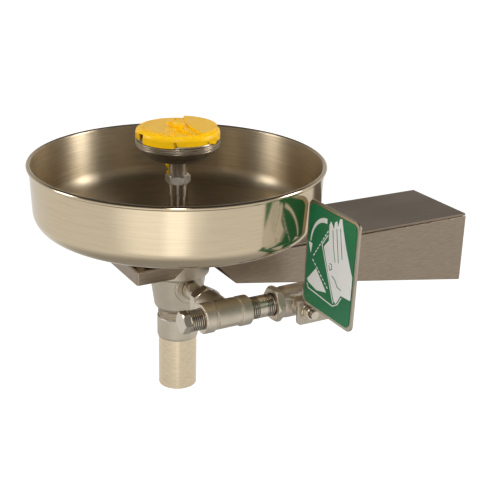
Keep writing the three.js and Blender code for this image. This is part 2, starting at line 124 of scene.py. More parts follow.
class EyewashColours(bpy.types.PropertyGroup):
    """Base colours of the finishes."""

    steel: colour("Polished steel", "Bowl and bright steel", (0.66, 0.55, 0.385))
    satin: colour("Satin steel", "Folded arm and its cover", (0.32, 0.257, 0.194))
    casting: colour("Casting", "Blasted waste body and valve", (0.66, 0.585, 0.47))
    fitting: colour("Fitting steel", "Turned pipe fittings and the flag", (0.66, 0.59, 0.48))
    chrome: colour("Dark chrome", "Stem and head trim", (0.40, 0.335, 0.25))
    yellow: colour("Yellow plastic", "Dust cover and its strap", (1.0, 0.56, 0.0))
    green: colour("Green label", "Flag label", (0.011, 0.165, 0.062))
    black: colour("Black plastic", "Head shell", (0.07, 0.057, 0.042))
    white: colour("White", "Label symbol, seats and spray plate", (0.82, 0.81, 0.78))
    floor: colour("Floor", "Studio floor", (0.25, 0.25, 0.25))


class EyewashStudio(bpy.types.PropertyGroup):
    """Camera and lights."""

    lens: FloatProperty(
        name="Lens", description="Focal length", default=74.2, min=20, max=200, subtype="DISTANCE_CAMERA"
    )
    side_glow: FloatProperty(
        name="Side cards", description="Brightness of the two side cards", default=8.0, min=0, max=20
    )
    front_glow: FloatProperty(
        name="Front card", description="Brightness of the wide card by the camera", default=0.42, min=0,
        max=20
    )
    strip_glow: FloatProperty(
        name="Strip card", description="Brightness of the tall narrow card by the camera", default=0.34,
        min=0, max=20
    )
    key_glow: FloatProperty(
        name="Key card", description="Brightness of the small card above the camera", default=12.0,
        min=0, max=30
    )
    top_power: FloatProperty(
        name="Top box", description="Power of the overhead light", default=70, min=0, unit="POWER"
    )
    floor_drop: FloatProperty(
        name="Floor drop", description="Floor below the tail", default=0.9, min=0.2, max=2, unit="LENGTH"
    )


def sizes():
    return bpy.context.scene.eyewash_sizes


def colours():
    return bpy.context.scene.eyewash_colours


def studio():
    return bpy.context.scene.eyewash_studio


# ---- making solids ----
def turned(profile, steps=None, closed=True):
    """Turns a profile of (radius, height[, fillet]) once round Z."""
    bm = bmesh.new()
    points = [bm.verts.new((p[0], 0, p[1])) for p in profile]
    pairs = list(zip(points, points[1:])) + ([(points[-1], points[0])] if closed else [])
    for pair in pairs:
        bm.edges.new(pair)
    for point, given in zip(points, profile):
        if len(given) > 2:
            bmesh.ops.bevel(
                bm, geom=[point], offset=given[2], segments=4, profile=0.5, affect="VERTICES", material=-1
            )
    loose = [v for v in bm.verts if v.is_wire]
    wires = [e for e in bm.edges if e.is_wire]
    bmesh.ops.spin(
        bm, geom=loose + wires, axis=(0, 0, 1), cent=(0, 0, 0), angle=2 * pi,
        steps=steps or sizes().turn_steps, use_merge=True,
    )
    bmesh.ops.remove_doubles(bm, verts=bm.verts, dist=1e-4)
    bmesh.ops.recalc_face_normals(bm, faces=bm.faces)
    return bm


def drum(r, z0, z1, steps=None):
    return turned([(0, z0), (r, z0), (r, z1), (0, z1)], steps, closed=False)


def sleeve(r, bore, z0, z1, ease=0.0, steps=None):
    """A tube whose outer ends may be eased."""
    eased = (ease,) if ease else ()
    return turned([(bore, z0), (r, z0) + eased, (r, z1) + eased, (bore, z1)], steps)


def crests(r, start, step, turns):
    """The profile of a run of thread crests, each with a root on both sides."""
    root = r - sizes().thread_depth
    run = []
    for i in range(turns):
        z = start + i * step
        run += [(root, z + step * 0.1), (r, z + step * 0.3), (r, z + step * 0.7), (root, z + step * 0.9)]
    return run


def threaded(r, bore, z0, z1, start, end, steps=None):
    """A tube with thread grooves between two heights."""
    turns = max(1, round((end - start) / sizes().thread_pitch))
    run = crests(r, start, (end - start) / turns, turns)
    below = [(r, z0)] if z0 < start - 0.01 else []
    above = [(r, z1)] if z1 > end + 0.01 else []
    lead_in = [(r, start)] if below else []
    lead_out = [(r, end)] if above else []
    outside = below + lead_in + run + lead_out + above
    low = outside[0][1] if not below else z0
    high = outside[-1][1] if not above else z1
    return turned([(bore, low)] + outside + [(bore, high)], steps)


def hexagon(across, z0, z1):
    bm = bmesh.new()
    bmesh.ops.create_circle(bm, segments=6, radius=across / 2 / cos(pi / 6), cap_ends=True)
    bmesh.ops.rotate(bm, verts=bm.verts, cent=(0, 0, 0), matrix=Matrix.Rotation(radians(30), 3, "Z"))
    grown = bmesh.ops.extrude_face_region(bm, geom=bm.faces[:])["geom"]
    tops = [v for v in grown if isinstance(v, bmesh.types.BMVert)]
    bmesh.ops.translate(bm, verts=tops, vec=(0, 0, z1 - z0))
    bmesh.ops.translate(bm, verts=bm.verts, vec=(0, 0, z0))
    bmesh.ops.recalc_face_normals(bm, faces=bm.faces)
    return bm


def block(x0, x1, y0, y1, z0, z1, ease=0.0, segments=3):
    bm = bmesh.new()
    bmesh.ops.create_cube(bm, size=1)
    bmesh.ops.scale(bm, vec=(x1 - x0, y1 - y0, z1 - z0), verts=bm.verts)
    bmesh.ops.translate(bm, vec=((x0 + x1) / 2, (y0 + y1) / 2, (z0 + z1) / 2), verts=bm.verts)
    if ease:
        bmesh.ops.bevel(
            bm, geom=bm.edges[:], offset=ease, segments=segments, profile=0.5, affect="EDGES", material=-1
        )
    return bm


def plate(points, z0, z1, corner=0.0, ease=0.0, corners=None):
    """A flat outline in XY with rounded corners, raised from z0 to z1, with eased rims."""
    bm = bmesh.new()
    ring = [bm.verts.new((x, y, z0)) for x, y in points]
    bm.faces.new(ring)
    rounded = ring if corners is None else [ring[i] for i in corners]
    if corner:
        bmesh.ops.bevel(
            bm, geom=rounded, offset=corner, segments=8, profile=0.5, affect="VERTICES", material=-1
        )
    grown = bmesh.ops.extrude_face_region(bm, geom=bm.faces[:])["geom"]
    tops = [v for v in grown if isinstance(v, bmesh.types.BMVert)]
    bmesh.ops.translate(bm, verts=tops, vec=(0, 0, z1 - z0))
    bmesh.ops.recalc_face_normals(bm, faces=bm.faces)
    if ease:
        rims = [e for e in bm.edges if abs(e.verts[0].co.z - e.verts[1].co.z) < 1e-6]
        bmesh.ops.bevel(bm, geom=rims, offset=ease, segments=2, profile=0.5, affect="EDGES", material=-1)
    return bm


def folded(points, faces, thickness, radius):
    """A sheet whose shared edges are folded to a radius and then given a thickness inwards."""
    bm = bmesh.new()
    corners = [bm.verts.new(p) for p in points]
    for face in faces:
        bm.faces.new([corners[i] for i in face])
    folds = [e for e in bm.edges if len(e.link_faces) == 2]
    bmesh.ops.bevel(bm, geom=folds, offset=radius, segments=5, profile=0.5, affect="EDGES", material=-1)
    bmesh.ops.solidify(bm, geom=bm.faces[:], thickness=thickness)
    bmesh.ops.recalc_face_normals(bm, faces=bm.faces)
    return bm


def moved(bm, matrix):
    bmesh.ops.transform(bm, matrix=matrix, verts=bm.verts)
    if matrix.determinant() < 0:
        bmesh.ops.reverse_faces(bm, faces=bm.faces)
    return bm


def placed(name, data):
    """An object in the scene for a mesh, light or camera."""
    made = bpy.data.objects.new(name, data)
    bpy.context.scene.collection.objects.link(made)
    return made


def meshed(name, bm):
    """A mesh from a bmesh, which is used up."""
    mesh = bpy.data.meshes.new(name)
    bm.to_mesh(mesh)
    bm.free()
    return mesh


def solid(name, bm, place=AT_BOWL):
    """Turns a bmesh in millimetres into an object in metres, with its place in its mesh."""
    moved(bm, MM @ place)
    return placed(name, meshed(name, bm))


def combine(made, operation, *tools):
    """Joins, cuts or keeps the overlap of a solid with others, which are used up."""
    for tool in tools:
        step = made.modifiers.new("combine", "BOOLEAN")
        step.operation, step.solver, step.object = operation, "EXACT", tool
        bpy.context.view_layer.update()
        seen = made.evaluated_get(bpy.context.evaluated_depsgraph_get())
        mesh = bpy.data.meshes.new_from_object(seen)
        made.modifiers.clear()
        old, made.data = made.data, mesh
        bpy.data.meshes.remove(old)
        spare = tool.data
        bpy.data.objects.remove(tool)
        bpy.data.meshes.remove(spare)
    return made


def cutter(bm, place=AT_BOWL):
    return solid("tool", bm, place)


def merge_flats(made):
    """Joins the slivers that cutting leaves on flat faces, so that they shade evenly."""
    bm = bmesh.new()
    bm.from_mesh(made.data)
    bmesh.ops.dissolve_limit(bm, angle_limit=radians(0.4), verts=bm.verts, edges=bm.edges)
    bm.to_mesh(made.data)
    bm.free()


def paint_root_shade(made, place, crest, start, end):
    """Gives the roots of a thread a darker material than its crests: painted shade in the grooves."""
    if len(made.data.materials) < 2:
        made.data.materials.append(look("Thread Root Shade"))
    back = (MM @ place).inverted()
    for face in made.data.polygons:
        spot = back @ face.center
        if start < spot.z < end and crest - 1.5 < spot.xy.length < crest - sizes().thread_depth * 0.3:
            face.material_index = 1


def hex_piece(name, across, z0, z1, bore=0.0, chamfer=1.2, place=AT_BOWL, top=True, bottom=True):
    """A hexagon whose corners are turned off at its ends, with an eased bore."""
    corner = across / 2 / cos(pi / 6) + 0.01
    flat = across / 2 - 0.15
    low = [(flat, z0), (corner, z0 + chamfer)] if bottom else [(corner, z0)]
    high = [(corner, z1 - chamfer), (flat, z1)] if top else [(corner, z1)]
    if bore:
        profile = [(bore, z0 + 0.4), (bore + 0.4, z0)] + low + high + [(bore + 0.4, z1), (bore, z1 - 0.4)]
        blank = turned(profile, 48)
    else:
        blank = turned([(0, z0)] + low + high + [(0, z1)], 48, closed=False)
    made = solid(name, blank, place)
    return combine(made, "INTERSECT", cutter(hexagon(across, z0 - 1, z1 + 1), place))


def finish(made, material, body="station", node=None, sharp=32.0, ease=0.0, even=True):
    """Shades a piece, gives it its finish, and ties it to its body and CAD node."""
    if ease:
        step = made.modifiers.new("ease", "BEVEL")
        step.width, step.segments, step.limit_method = ease / 1000, 2, "ANGLE"
        step.angle_limit = radians(40)
    made.data.shade_smooth()
    made.data.set_sharp_from_angle(angle=radians(sharp))
    if even:
        made.modifiers.new("even shading", "WEIGHTED_NORMAL").keep_sharp = True
    made.data.materials.clear()
    made.data.materials.append(material)
    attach(made, body)
    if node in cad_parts:
        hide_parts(node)
    return made


# ---- shader building ----
def group_tree(name, inputs, outputs):
    """An empty shader node group with named sockets, and its own input and output nodes."""
    tree = bpy.data.node_groups.new(name, "ShaderNodeTree")
    for label, kind, value in inputs:
        socket = tree.interface.new_socket(label, in_out="INPUT", socket_type=kind)
        if value is not None:
            socket.default_value = value
    for label, kind in outputs:
        tree.interface.new_socket(label, in_out="OUTPUT", socket_type=kind)
    return tree, tree.nodes.new("NodeGroupInput"), tree.nodes.new("NodeGroupOutput")


def put(tree, kind, settings=None, **inputs):
    """Adds a node, sets its options, and sets or links its inputs."""
    node = tree.nodes.new(kind)
    for key, value in (settings or {}).items():
        setattr(node, key, value)
    for key, value in inputs.items():
        socket = node.inputs[int(key[1:])] if key[1:].isdigit() else node.inputs[key.replace("_", " ")]
        if isinstance(value, bpy.types.NodeSocket):
            tree.links.new(value, socket)
        else:
            socket.default_value = value
    return node


def maths(tree, operation, first, second):
    """The result of a sum, product or other operation on two numbers."""
    return put(tree, "ShaderNodeMath", {"operation": operation}, _0=first, _1=second).outputs[0]


def noise(tree, where, size, detail, rough):
    """The height of a noise pattern."""
    made = put(tree, "ShaderNodeTexNoise", Vector=where, Scale=size, Detail=detail, Roughness=rough)
    return made.outputs[0]


def pattern(tree, name, maker, **inputs):
    """Places a shared pattern group in a material."""
    return put(tree, "ShaderNodeGroup", {"node_tree": shared(name, maker)}, **inputs).outputs


def brushed_turning():
    """Fine lines that run round the Z axis, as spinning and belt polishing leave."""
    tree, given, out = group_tree(
        "Turned Brushing",
        [
            ("Vector", "NodeSocketVector", None), ("Lines", "NodeSocketFloat", 900.0),
            ("Drift", "NodeSocketFloat", 3.0),
        ],
        [("Grain", "NodeSocketFloat"), ("Blotch", "NodeSocketFloat")],
    )
    parts = put(tree, "ShaderNodeSeparateXYZ", Vector=given.outputs["Vector"])
    flat = put(tree, "ShaderNodeCombineXYZ", X=parts.outputs["X"], Y=parts.outputs["Y"])
    radius = put(tree, "ShaderNodeVectorMath", {"operation": "LENGTH"}, _0=flat.outputs[0])
    unit = put(tree, "ShaderNodeVectorMath", {"operation": "NORMALIZE"}, _0=flat.outputs[0])
    along = maths(tree, "ADD", radius.outputs["Value"], parts.outputs["Z"])
    fine = maths(tree, "MULTIPLY", along, given.outputs["Lines"])
    round_ = put(
        tree, "ShaderNodeVectorMath", {"operation": "SCALE"}, _0=unit.outputs[0],
        Scale=given.outputs["Drift"],
    )
    split = put(tree, "ShaderNodeSeparateXYZ", Vector=round_.outputs[0])
    where = put(tree, "ShaderNodeCombineXYZ", X=split.outputs["X"], Y=split.outputs["Y"], Z=fine)
    tree.links.new(noise(tree, where.outputs[0], 1.0, 3.0, 0.65), out.inputs["Grain"])
    tree.links.new(noise(tree, given.outputs["Vector"], 9.0, 3.0, 0.55), out.inputs["Blotch"])
    return tree


def brushed_sheet():
    """Fine straight lines along a sheet's rolling direction, with faint clouding."""
    tree, given, out = group_tree(
        "Sheet Brushing",
        [("Vector", "NodeSocketVector", None), ("Stretch", "NodeSocketVector", (900.0, 12.0, 900.0))],
        [("Grain", "NodeSocketFloat"), ("Blotch", "NodeSocketFloat")],
    )
    where = put(
        tree, "ShaderNodeVectorMath", {"operation": "MULTIPLY"}, _0=given.outputs["Vector"],
        _1=given.outputs["Stretch"]
    )
    tree.links.new(noise(tree, where.outputs[0], 1.0, 3.0, 0.6), out.inputs["Grain"])
    tree.links.new(noise(tree, given.outputs["Vector"], 14.0, 3.0, 0.5), out.inputs["Blotch"])
    return tree


def speckled_surface():
    """A pitted grain for blasted castings and moulded plastic, with slow clouding."""
    tree, given, out = group_tree(
        "Speckled Surface",
        [("Vector", "NodeSocketVector", None), ("Size", "NodeSocketFloat", 900.0)],
        [("Height", "NodeSocketFloat"), ("Blotch", "NodeSocketFloat")],
    )
    pits = noise(tree, given.outputs["Vector"], given.outputs["Size"], 4.0, 0.7)
    tree.links.new(pits, out.inputs["Height"])
    tree.links.new(noise(tree, given.outputs["Vector"], 28.0, 4.0, 0.6), out.inputs["Blotch"])
    return tree


def settled_dust():
    """A mask that is stronger where a surface faces up, broken by noise."""
    tree, given, out = group_tree(
        "Settled Dust",
        [("Vector", "NodeSocketVector", None), ("Amount", "NodeSocketFloat", 0.2)],
        [("Mask", "NodeSocketFloat")],
    )
    normal = put(tree, "ShaderNodeNewGeometry")
    up = put(tree, "ShaderNodeSeparateXYZ", Vector=normal.outputs["Normal"])
    facing = put(tree, "ShaderNodeMapRange", Value=up.outputs["Z"], _1=0.35, _2=1.0, _3=0.0, _4=1.0)
    broken = maths(tree, "MULTIPLY", facing.outputs[0], noise(tree, given.outputs["Vector"], 60.0, 5.0, 0.7))
    mask = maths(tree, "MULTIPLY", broken, given.outputs["Amount"])
    mask.node.use_clamp = True
    tree.links.new(mask, out.inputs["Mask"])
    return tree


def shared(name, maker):
    """A node group, built once and then found again by name."""
    return bpy.data.node_groups.get(name) or maker()


def blend_between(tree, mask, low, high, a=0.35, b=0.65):
    """A colour that goes from low to high as the mask goes from a to b."""
    ramp = put(tree, "ShaderNodeValToRGB", Fac=mask)
    first, last = ramp.color_ramp.elements
    first.position, first.color = a, (*low, 1)
    last.position, last.color = b, (*high, 1)
    return ramp.outputs["Color"]


def spread(tree, mask, low, high):
    """A value that goes from low to high over the middle of a mask."""
    return put(tree, "ShaderNodeMapRange", Value=mask, _1=0.3, _2=0.7, _3=low, _4=high).outputs[0]


def shade(value, factor):
    return tuple(min(1.0, c * factor) for c in value)


def new_material(name, metallic):
    made = bpy.data.materials.new(name)
    made.use_nodes = True
    tree = made.node_tree
    surface = tree.nodes["Principled BSDF"]
    surface.inputs["Metallic"].default_value = metallic
    return made, tree, surface


def centred(tree, centre):
    """Object coordinates measured from a point, in metres."""
    where = put(tree, "ShaderNodeTexCoord")
    return put(
        tree, "ShaderNodeMapping", {"vector_type": "POINT"}, Vector=where.outputs["Object"],
        Location=tuple(-c for c in centre),
    ).outputs[0]


def turned_metal(name, base, rough, lines=900.0, centre=None, aniso=0.0, bump=0.08, contrast=0.1, along=None):
    """Metal whose polishing lines run round an axis that stands on Z, or on X or Y when turned."""
    made, tree, surface = new_material(name, 1.0)
    where = centred(tree, centre or RIM)
    if along:
        where = put(
            tree, "ShaderNodeMapping", {"vector_type": "POINT"}, Vector=where, Rotation=along
        ).outputs[0]
    brushing = pattern(tree, "Turned Brushing", brushed_turning, Vector=where, Lines=lines)
    tint = blend_between(tree, brushing["Grain"], shade(base, 1 - contrast), shade(base, 1 + contrast))
    tree.links.new(tint, surface.inputs["Base Color"])
    tree.links.new(spread(tree, brushing["Blotch"], rough * 0.92, rough * 1.1), surface.inputs["Roughness"])
    if aniso:
        surface.inputs["Anisotropic"].default_value = aniso
        surface.inputs["Anisotropic Rotation"].default_value = 0.25
        across = put(tree, "ShaderNodeVectorMath", {"operation": "CROSS_PRODUCT"}, _0=(0, 0, 1), _1=where)
        around = put(tree, "ShaderNodeVectorMath", {"operation": "NORMALIZE"}, _0=across.outputs[0])
        tree.links.new(around.outputs[0], surface.inputs["Tangent"])
    lift = put(tree, "ShaderNodeBump", Height=brushing["Grain"], Strength=bump, Distance=0.0003)
    tree.links.new(lift.outputs[0], surface.inputs["Normal"])
    return made


def sheet_metal(name, base, rough, stretch, bump=0.08, contrast=0.12):
    """Metal sheet with straight polishing lines."""
    made, tree, surface = new_material(name, 1.0)
    where = centred(tree, RIM)
    brushing = pattern(tree, "Sheet Brushing", brushed_sheet, Vector=where, Stretch=stretch)
    tint = blend_between(tree, brushing["Grain"], shade(base, 1 - contrast), shade(base, 1 + contrast))
    tree.links.new(tint, surface.inputs["Base Color"])
    tree.links.new(spread(tree, brushing["Blotch"], rough * 0.88, rough * 1.15), surface.inputs["Roughness"])
    lift = put(tree, "ShaderNodeBump", Height=brushing["Grain"], Strength=bump, Distance=0.0003)
    tree.links.new(lift.outputs[0], surface.inputs["Normal"])
    return made


def speckled(name, base, rough, metallic, size, bump, contrast=0.08, dust=0.0, gloss=0.5):
    """A blasted, moulded or printed surface with a fine grain."""
    made, tree, surface = new_material(name, metallic)
    where = centred(tree, RIM)
    grain = pattern(tree, "Speckled Surface", speckled_surface, Vector=where, Size=size)
    tint = blend_between(tree, grain["Blotch"], shade(base, 1 - contrast), shade(base, 1 + contrast))
    if dust:
        dusting = pattern(tree, "Settled Dust", settled_dust, Vector=where, Amount=dust)
        mixed = put(tree, "ShaderNodeMix", {"data_type": "RGBA"}, _0=dusting["Mask"])
        tree.links.new(tint, mixed.inputs[6])
        mixed.inputs[7].default_value = (0.75, 0.7, 0.62, 1)
        tint = mixed.outputs[2]
    tree.links.new(tint, surface.inputs["Base Color"])
    tree.links.new(spread(tree, grain["Blotch"], rough * 0.9, rough * 1.12), surface.inputs["Roughness"])
    surface.inputs["Specular IOR Level"].default_value = gloss
    lift = put(tree, "ShaderNodeBump", Height=grain["Height"], Strength=bump, Distance=0.0004)
    tree.links.new(lift.outputs[0], surface.inputs["Normal"])
    return made


ROUND_X = (0.0, radians(90), 0.0)
ROUND_Y = (radians(90), 0.0, 0.0)
LINE_CENTRE = RIM + Vector((PIPE_X, 0, PIPE_Z)) / 1000
STEM_CENTRE = RIM + Vector((PIPE_X, STEM_Y, PIPE_Z)) / 1000
BRANCH_CENTRE = RIM + Vector((0, 0, PIPE_Z)) / 1000


def look(name):
    """The named finish, made the first time that a piece asks for it."""
    found = bpy.data.materials.get(name)
    if found:
        return found
    c = colours()
    steel, satin, casting, chrome, fitting = (
        tuple(v) for v in (c.steel, c.satin, c.casting, c.chrome, c.fitting)
    )
    makers = {
        "Bowl Outside": lambda: turned_metal(name, steel, 0.12, lines=500, bump=0.006, contrast=0.03),
        "Bowl Inside": lambda: turned_metal(
            name, shade(steel, 0.85), 0.38, lines=1000, aniso=0.85, bump=0.02, contrast=0.13
        ),
        "Tube Polish": lambda: turned_metal(
            name, shade(steel, 1.08), 0.2, lines=700, bump=0.04, contrast=0.05
        ),
        "Line Polish": lambda: turned_metal(
            name, fitting, 0.24, lines=1500, centre=LINE_CENTRE, bump=0.08, along=ROUND_Y
        ),
        "Branch Polish": lambda: turned_metal(
            name, shade(fitting, 0.92), 0.24, lines=1500, centre=BRANCH_CENTRE, bump=0.08, along=ROUND_X
        ),
        "Stem Polish": lambda: turned_metal(
            name, fitting, 0.22, lines=1500, centre=STEM_CENTRE, bump=0.08, along=ROUND_X
        ),
        # Painted shade for thread grooves: a much darker copy of the fitting steel.
        "Thread Root Shade": lambda: speckled(name, shade(fitting, 0.3), 0.5, 1.0, 2500.0, 0.1, contrast=0.15),
        "Dark Chrome": lambda: turned_metal(
            name, shade(chrome, 1.25), 0.36, lines=700, aniso=0.85, bump=0.02, contrast=0.06
        ),
        # A much lighter chrome for the stem's nut: painted reflection of the lit inside of the bowl.
        "Nut Chrome Painted Reflection": lambda: turned_metal(
            name, (0.82, 0.76, 0.66), 0.34, lines=700, aniso=0.85, bump=0.02, contrast=0.06
        ),
        "Head Bronze": lambda: turned_metal(
            name, chrome, 0.42, lines=900, aniso=0.5, bump=0.04, contrast=0.1
        ),
        "Head Trim": lambda: turned_metal(
            name, shade(chrome, 1.15), 0.36, lines=2200, aniso=0.6, bump=0.1, contrast=0.16
        ),
        "Arm Satin": lambda: sheet_metal(name, satin, 0.36, (1500, 12, 1500)),
        "Cover Satin": lambda: sheet_metal(name, shade(satin, 1.05), 0.4, (900, 90, 900), contrast=0.1),
        "Flag Satin": lambda: sheet_metal(name, shade(fitting, 0.74), 0.32, (900, 900, 14)),
        "Casting": lambda: speckled(name, shade(casting, 0.86), 0.42, 1.0, 1300.0, 0.4, contrast=0.08),
        "Valve Casting": lambda: speckled(name, casting, 0.36, 1.0, 1300.0, 0.45, contrast=0.1),
        "Machined Steel": lambda: speckled(name, shade(steel, 1.0), 0.22, 1.0, 2500.0, 0.05, contrast=0.06),
        "Yellow Plastic": lambda: speckled(
            name, tuple(c.yellow), 0.3, 0.0, 900.0, 0.04, contrast=0.03, gloss=0.22
        ),
        "Yellow Textured": lambda: speckled(
            name, shade(c.yellow, 0.9), 0.5, 0.0, 1600.0, 0.3, contrast=0.05, dust=0.22, gloss=0.3
        ),
        "Green Label": lambda: speckled(
            name, tuple(c.green), 0.34, 0.0, 700.0, 0.03, contrast=0.06, gloss=0.3
        ),
        "White Print": lambda: speckled(name, tuple(c.white), 0.45, 0.0, 700.0, 0.03, contrast=0.02),
        "White Plastic": lambda: speckled(name, tuple(c.white), 0.4, 0.0, 800.0, 0.05, contrast=0.03),
        "Black Plastic": lambda: speckled(
            name, tuple(c.black), 0.3, 0.0, 1200.0, 0.08, contrast=0.2, dust=0.05
        ),
        "Black Rubber": lambda: speckled(name, tuple(c.black), 0.7, 0.0, 900.0, 0.15, contrast=0.2),
    }
    return makers[name]()


def keep(node, material):
    """A CAD node whose shape is right gets its finish."""
    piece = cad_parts[node]
    piece.data.materials.clear()
    piece.data.materials.append(look(material))


# ---- stage ----
class EYEWASH_OT_stage(bpy.types.Operator):
    """Makes the camera, the lights, the pale floor and the surroundings"""

    bl_idname = "eyewash.stage"
    bl_label = "Stage"

    def execute(self, context):
        scene = context.scene
        scene.view_settings.view_transform = "Standard"
        camera = placed("camera", bpy.data.cameras.new("camera"))
        camera.data.lens, camera.data.sensor_width = studio().lens, 36.0
        camera.data.clip_end = 60
        turn, fall, roll = radians(59.98), radians(21.22), radians(1.63)
        ahead = Vector((-sin(turn) * cos(fall), cos(turn) * cos(fall), -sin(fall)))
        right = ahead.cross(Vector((0, 0, 1))).normalized()
        up = right.cross(ahead)
        side = right * cos(roll) + up * sin(roll)
        rise = up * cos(roll) - right * sin(roll)
        aim = Matrix((side, rise, -ahead)).transposed().to_4x4()
        camera.matrix_world = Matrix.Translation((0.84648, -0.73171, 0.40102)) @ aim
        scene.camera = camera

        self.floor()
        self.surroundings(scene)
        centre = Vector((RIM.x, RIM.y + 0.08, RIM.z - 0.06))
        level = Vector((right.x, right.y, 0)).normalized()
        back = Vector((-ahead.x, -ahead.y, 0)).normalized()
        up = Vector((0, 0, 1))
        glow = studio()
        # Each card: metres to the camera's right, towards the camera and up, then half sizes and glow.
        cards = (
            ("right_box", (1.6, -0.1, 0.5), (0.32, 0.5), glow.side_glow * 2.0),
            ("left_box", (-1.6, 0.2, 0.5), (0.32, 0.5), glow.side_glow),
            ("front_box", (-0.4, 2.2, -0.6), (1.9, 0.85), glow.front_glow),
            ("strip_box", (0.05, 1.9, -0.55), (0.42, 0.75), glow.strip_glow),
            ("key_box", (0.05, 1.6, 0.95), (0.22, 0.45), glow.key_glow),
        )
        for name, (aside, nearer, higher), half, strength in cards:
            place = centre + level * aside + back * nearer + up * higher
            self.soft_card(name, place, centre, half, strength)
        self.box("top_box", Vector((0.6, -0.6, 2.6)), Vector((0, -0.3, 0)), 4.5, glow.top_power)
        return {"FINISHED"}

    def floor(self):
        low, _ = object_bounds()
        bm = bmesh.new()
        bmesh.ops.create_grid(bm, x_segments=1, y_segments=1, size=22)
        bmesh.ops.translate(bm, verts=bm.verts, vec=(0, 0, low.z - studio().floor_drop))
        made = placed("studio_floor", meshed("studio_floor", bm))
        material, tree, surface = new_material("Studio Floor", 0.0)
        where = put(tree, "ShaderNodeTexCoord")
        clouds = noise(tree, where.outputs["Object"], 1.5, 3.0, 0.5)
        pale = tuple(colours().floor)
        tint = blend_between(tree, clouds, shade(pale, 0.99), pale)
        tree.links.new(tint, surface.inputs["Base Color"])
        surface.inputs["Emission Color"].default_value = (1, 0.995, 0.985, 1)
        # The floor glows: evenly bright to the camera, and dimmer to reflections, least close to the station,
        # which is painted shade under it.
        away = put(
            tree, "ShaderNodeVectorMath", {"operation": "DISTANCE"}, _0=where.outputs["Object"],
            _1=(RIM.x, RIM.y, low.z - studio().floor_drop),
        )
        glow_with_painted_shade = put(
            tree, "ShaderNodeMapRange", {"interpolation_type": "SMOOTHSTEP"}, Value=away.outputs["Value"],
            _1=0.5, _2=1.9, _3=0.16, _4=0.68,
        )
        path = put(tree, "ShaderNodeLightPath")
        glow = put(
            tree, "ShaderNodeMapRange", Value=path.outputs["Is Camera Ray"], _3=glow_with_painted_shade.outputs[0],
            _4=1.0,
        )
        tree.links.new(glow.outputs[0], surface.inputs["Emission Strength"])
        surface.inputs["Roughness"].default_value = 0.8
        made.data.materials.append(material)
        made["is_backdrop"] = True

    def surroundings(self, scene):
        world = bpy.data.worlds.new("Studio")
        scene.world = world
        world.use_nodes = True
        tree = world.node_tree
        tree.nodes.clear()
        where = put(tree, "ShaderNodeTexCoord")
        parts = put(tree, "ShaderNodeSeparateXYZ", Vector=where.outputs["Generated"])
        ramp = put(
            tree, "ShaderNodeValToRGB",
            Fac=put(tree, "ShaderNodeMapRange", Value=parts.outputs["Z"], _1=-1.0, _2=1.0).outputs[0],
        )
        stops = ramp.color_ramp.elements
        stops[0].position, stops[0].color = 0.49, (0.62, 0.61, 0.6, 1)
        stops[1].position, stops[1].color = 0.80, (0.05, 0.045, 0.04, 1)
        middle = stops.new(0.68)
        middle.color = (0.42, 0.40, 0.38, 1)
        path = put(tree, "ShaderNodeLightPath")
        mixed = put(tree, "ShaderNodeMix", {"data_type": "RGBA"}, _0=path.outputs["Is Camera Ray"])
        tree.links.new(ramp.outputs[0], mixed.inputs[6])
        mixed.inputs[7].default_value = (1, 1, 1, 1)
        shown = put(tree, "ShaderNodeBackground", Color=mixed.outputs[2], Strength=1.0)
        out = put(tree, "ShaderNodeOutputWorld")
        tree.links.new(shown.outputs[0], out.inputs["Surface"])

    def soft_card(self, name, place, target, half, strength):
        """A glowing card that fades towards its edges, so that polished steel shows no hard border."""
        bm = bmesh.new()
        bmesh.ops.create_grid(bm, x_segments=1, y_segments=1, size=1)
        bmesh.ops.scale(bm, vec=(half[0], half[1], 1), verts=bm.verts)
        card = placed(name, meshed(name, bm))
        card.rotation_mode = "QUATERNION"
        card.rotation_quaternion = (target - place).to_track_quat("Z", "Y")
        card.location = place
        material = bpy.data.materials.new(name)
        material.use_nodes = True
        tree = material.node_tree
        tree.nodes.clear()
        where = put(tree, "ShaderNodeTexCoord")
        parts = put(tree, "ShaderNodeSeparateXYZ", Vector=where.outputs["Object"])
        fades = []
        for axis, reach in (("X", half[0]), ("Y", half[1])):
            away = put(tree, "ShaderNodeMath", {"operation": "ABSOLUTE"}, _0=parts.outputs[axis])
            fades.append(
                put(
                    tree, "ShaderNodeMapRange", {"interpolation_type": "SMOOTHSTEP"}, Value=away.outputs[0],
                    _1=reach * 0.25, _2=reach, _3=1.0, _4=0.0,
                ).outputs[0]
            )
        power = maths(tree, "MULTIPLY", maths(tree, "MULTIPLY", *fades), strength)
        lit = put(tree, "ShaderNodeEmission", Strength=power)
        clear = put(tree, "ShaderNodeBsdfTransparent")
        summed = put(tree, "ShaderNodeAddShader", _0=lit.outputs[0], _1=clear.outputs[0])
        out = put(tree, "ShaderNodeOutputMaterial")
        tree.links.new(summed.outputs[0], out.inputs["Surface"])
        card.data.materials.append(material)
        card.visible_camera = card.visible_shadow = False
        card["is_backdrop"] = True

    def box(self, name, place, target, size, power):
        """A large square light that polished steel doesn't mirror."""
        data = bpy.data.lights.new(name, "AREA")
        data.shape, data.size, data.energy = "SQUARE", size, power
        made = placed(name, data)
        made.location = place
        made.rotation_mode = "QUATERNION"
        made.rotation_quaternion = (target - place).to_track_quat("-Z", "Y")
        made.visible_glossy = made.visible_camera = False


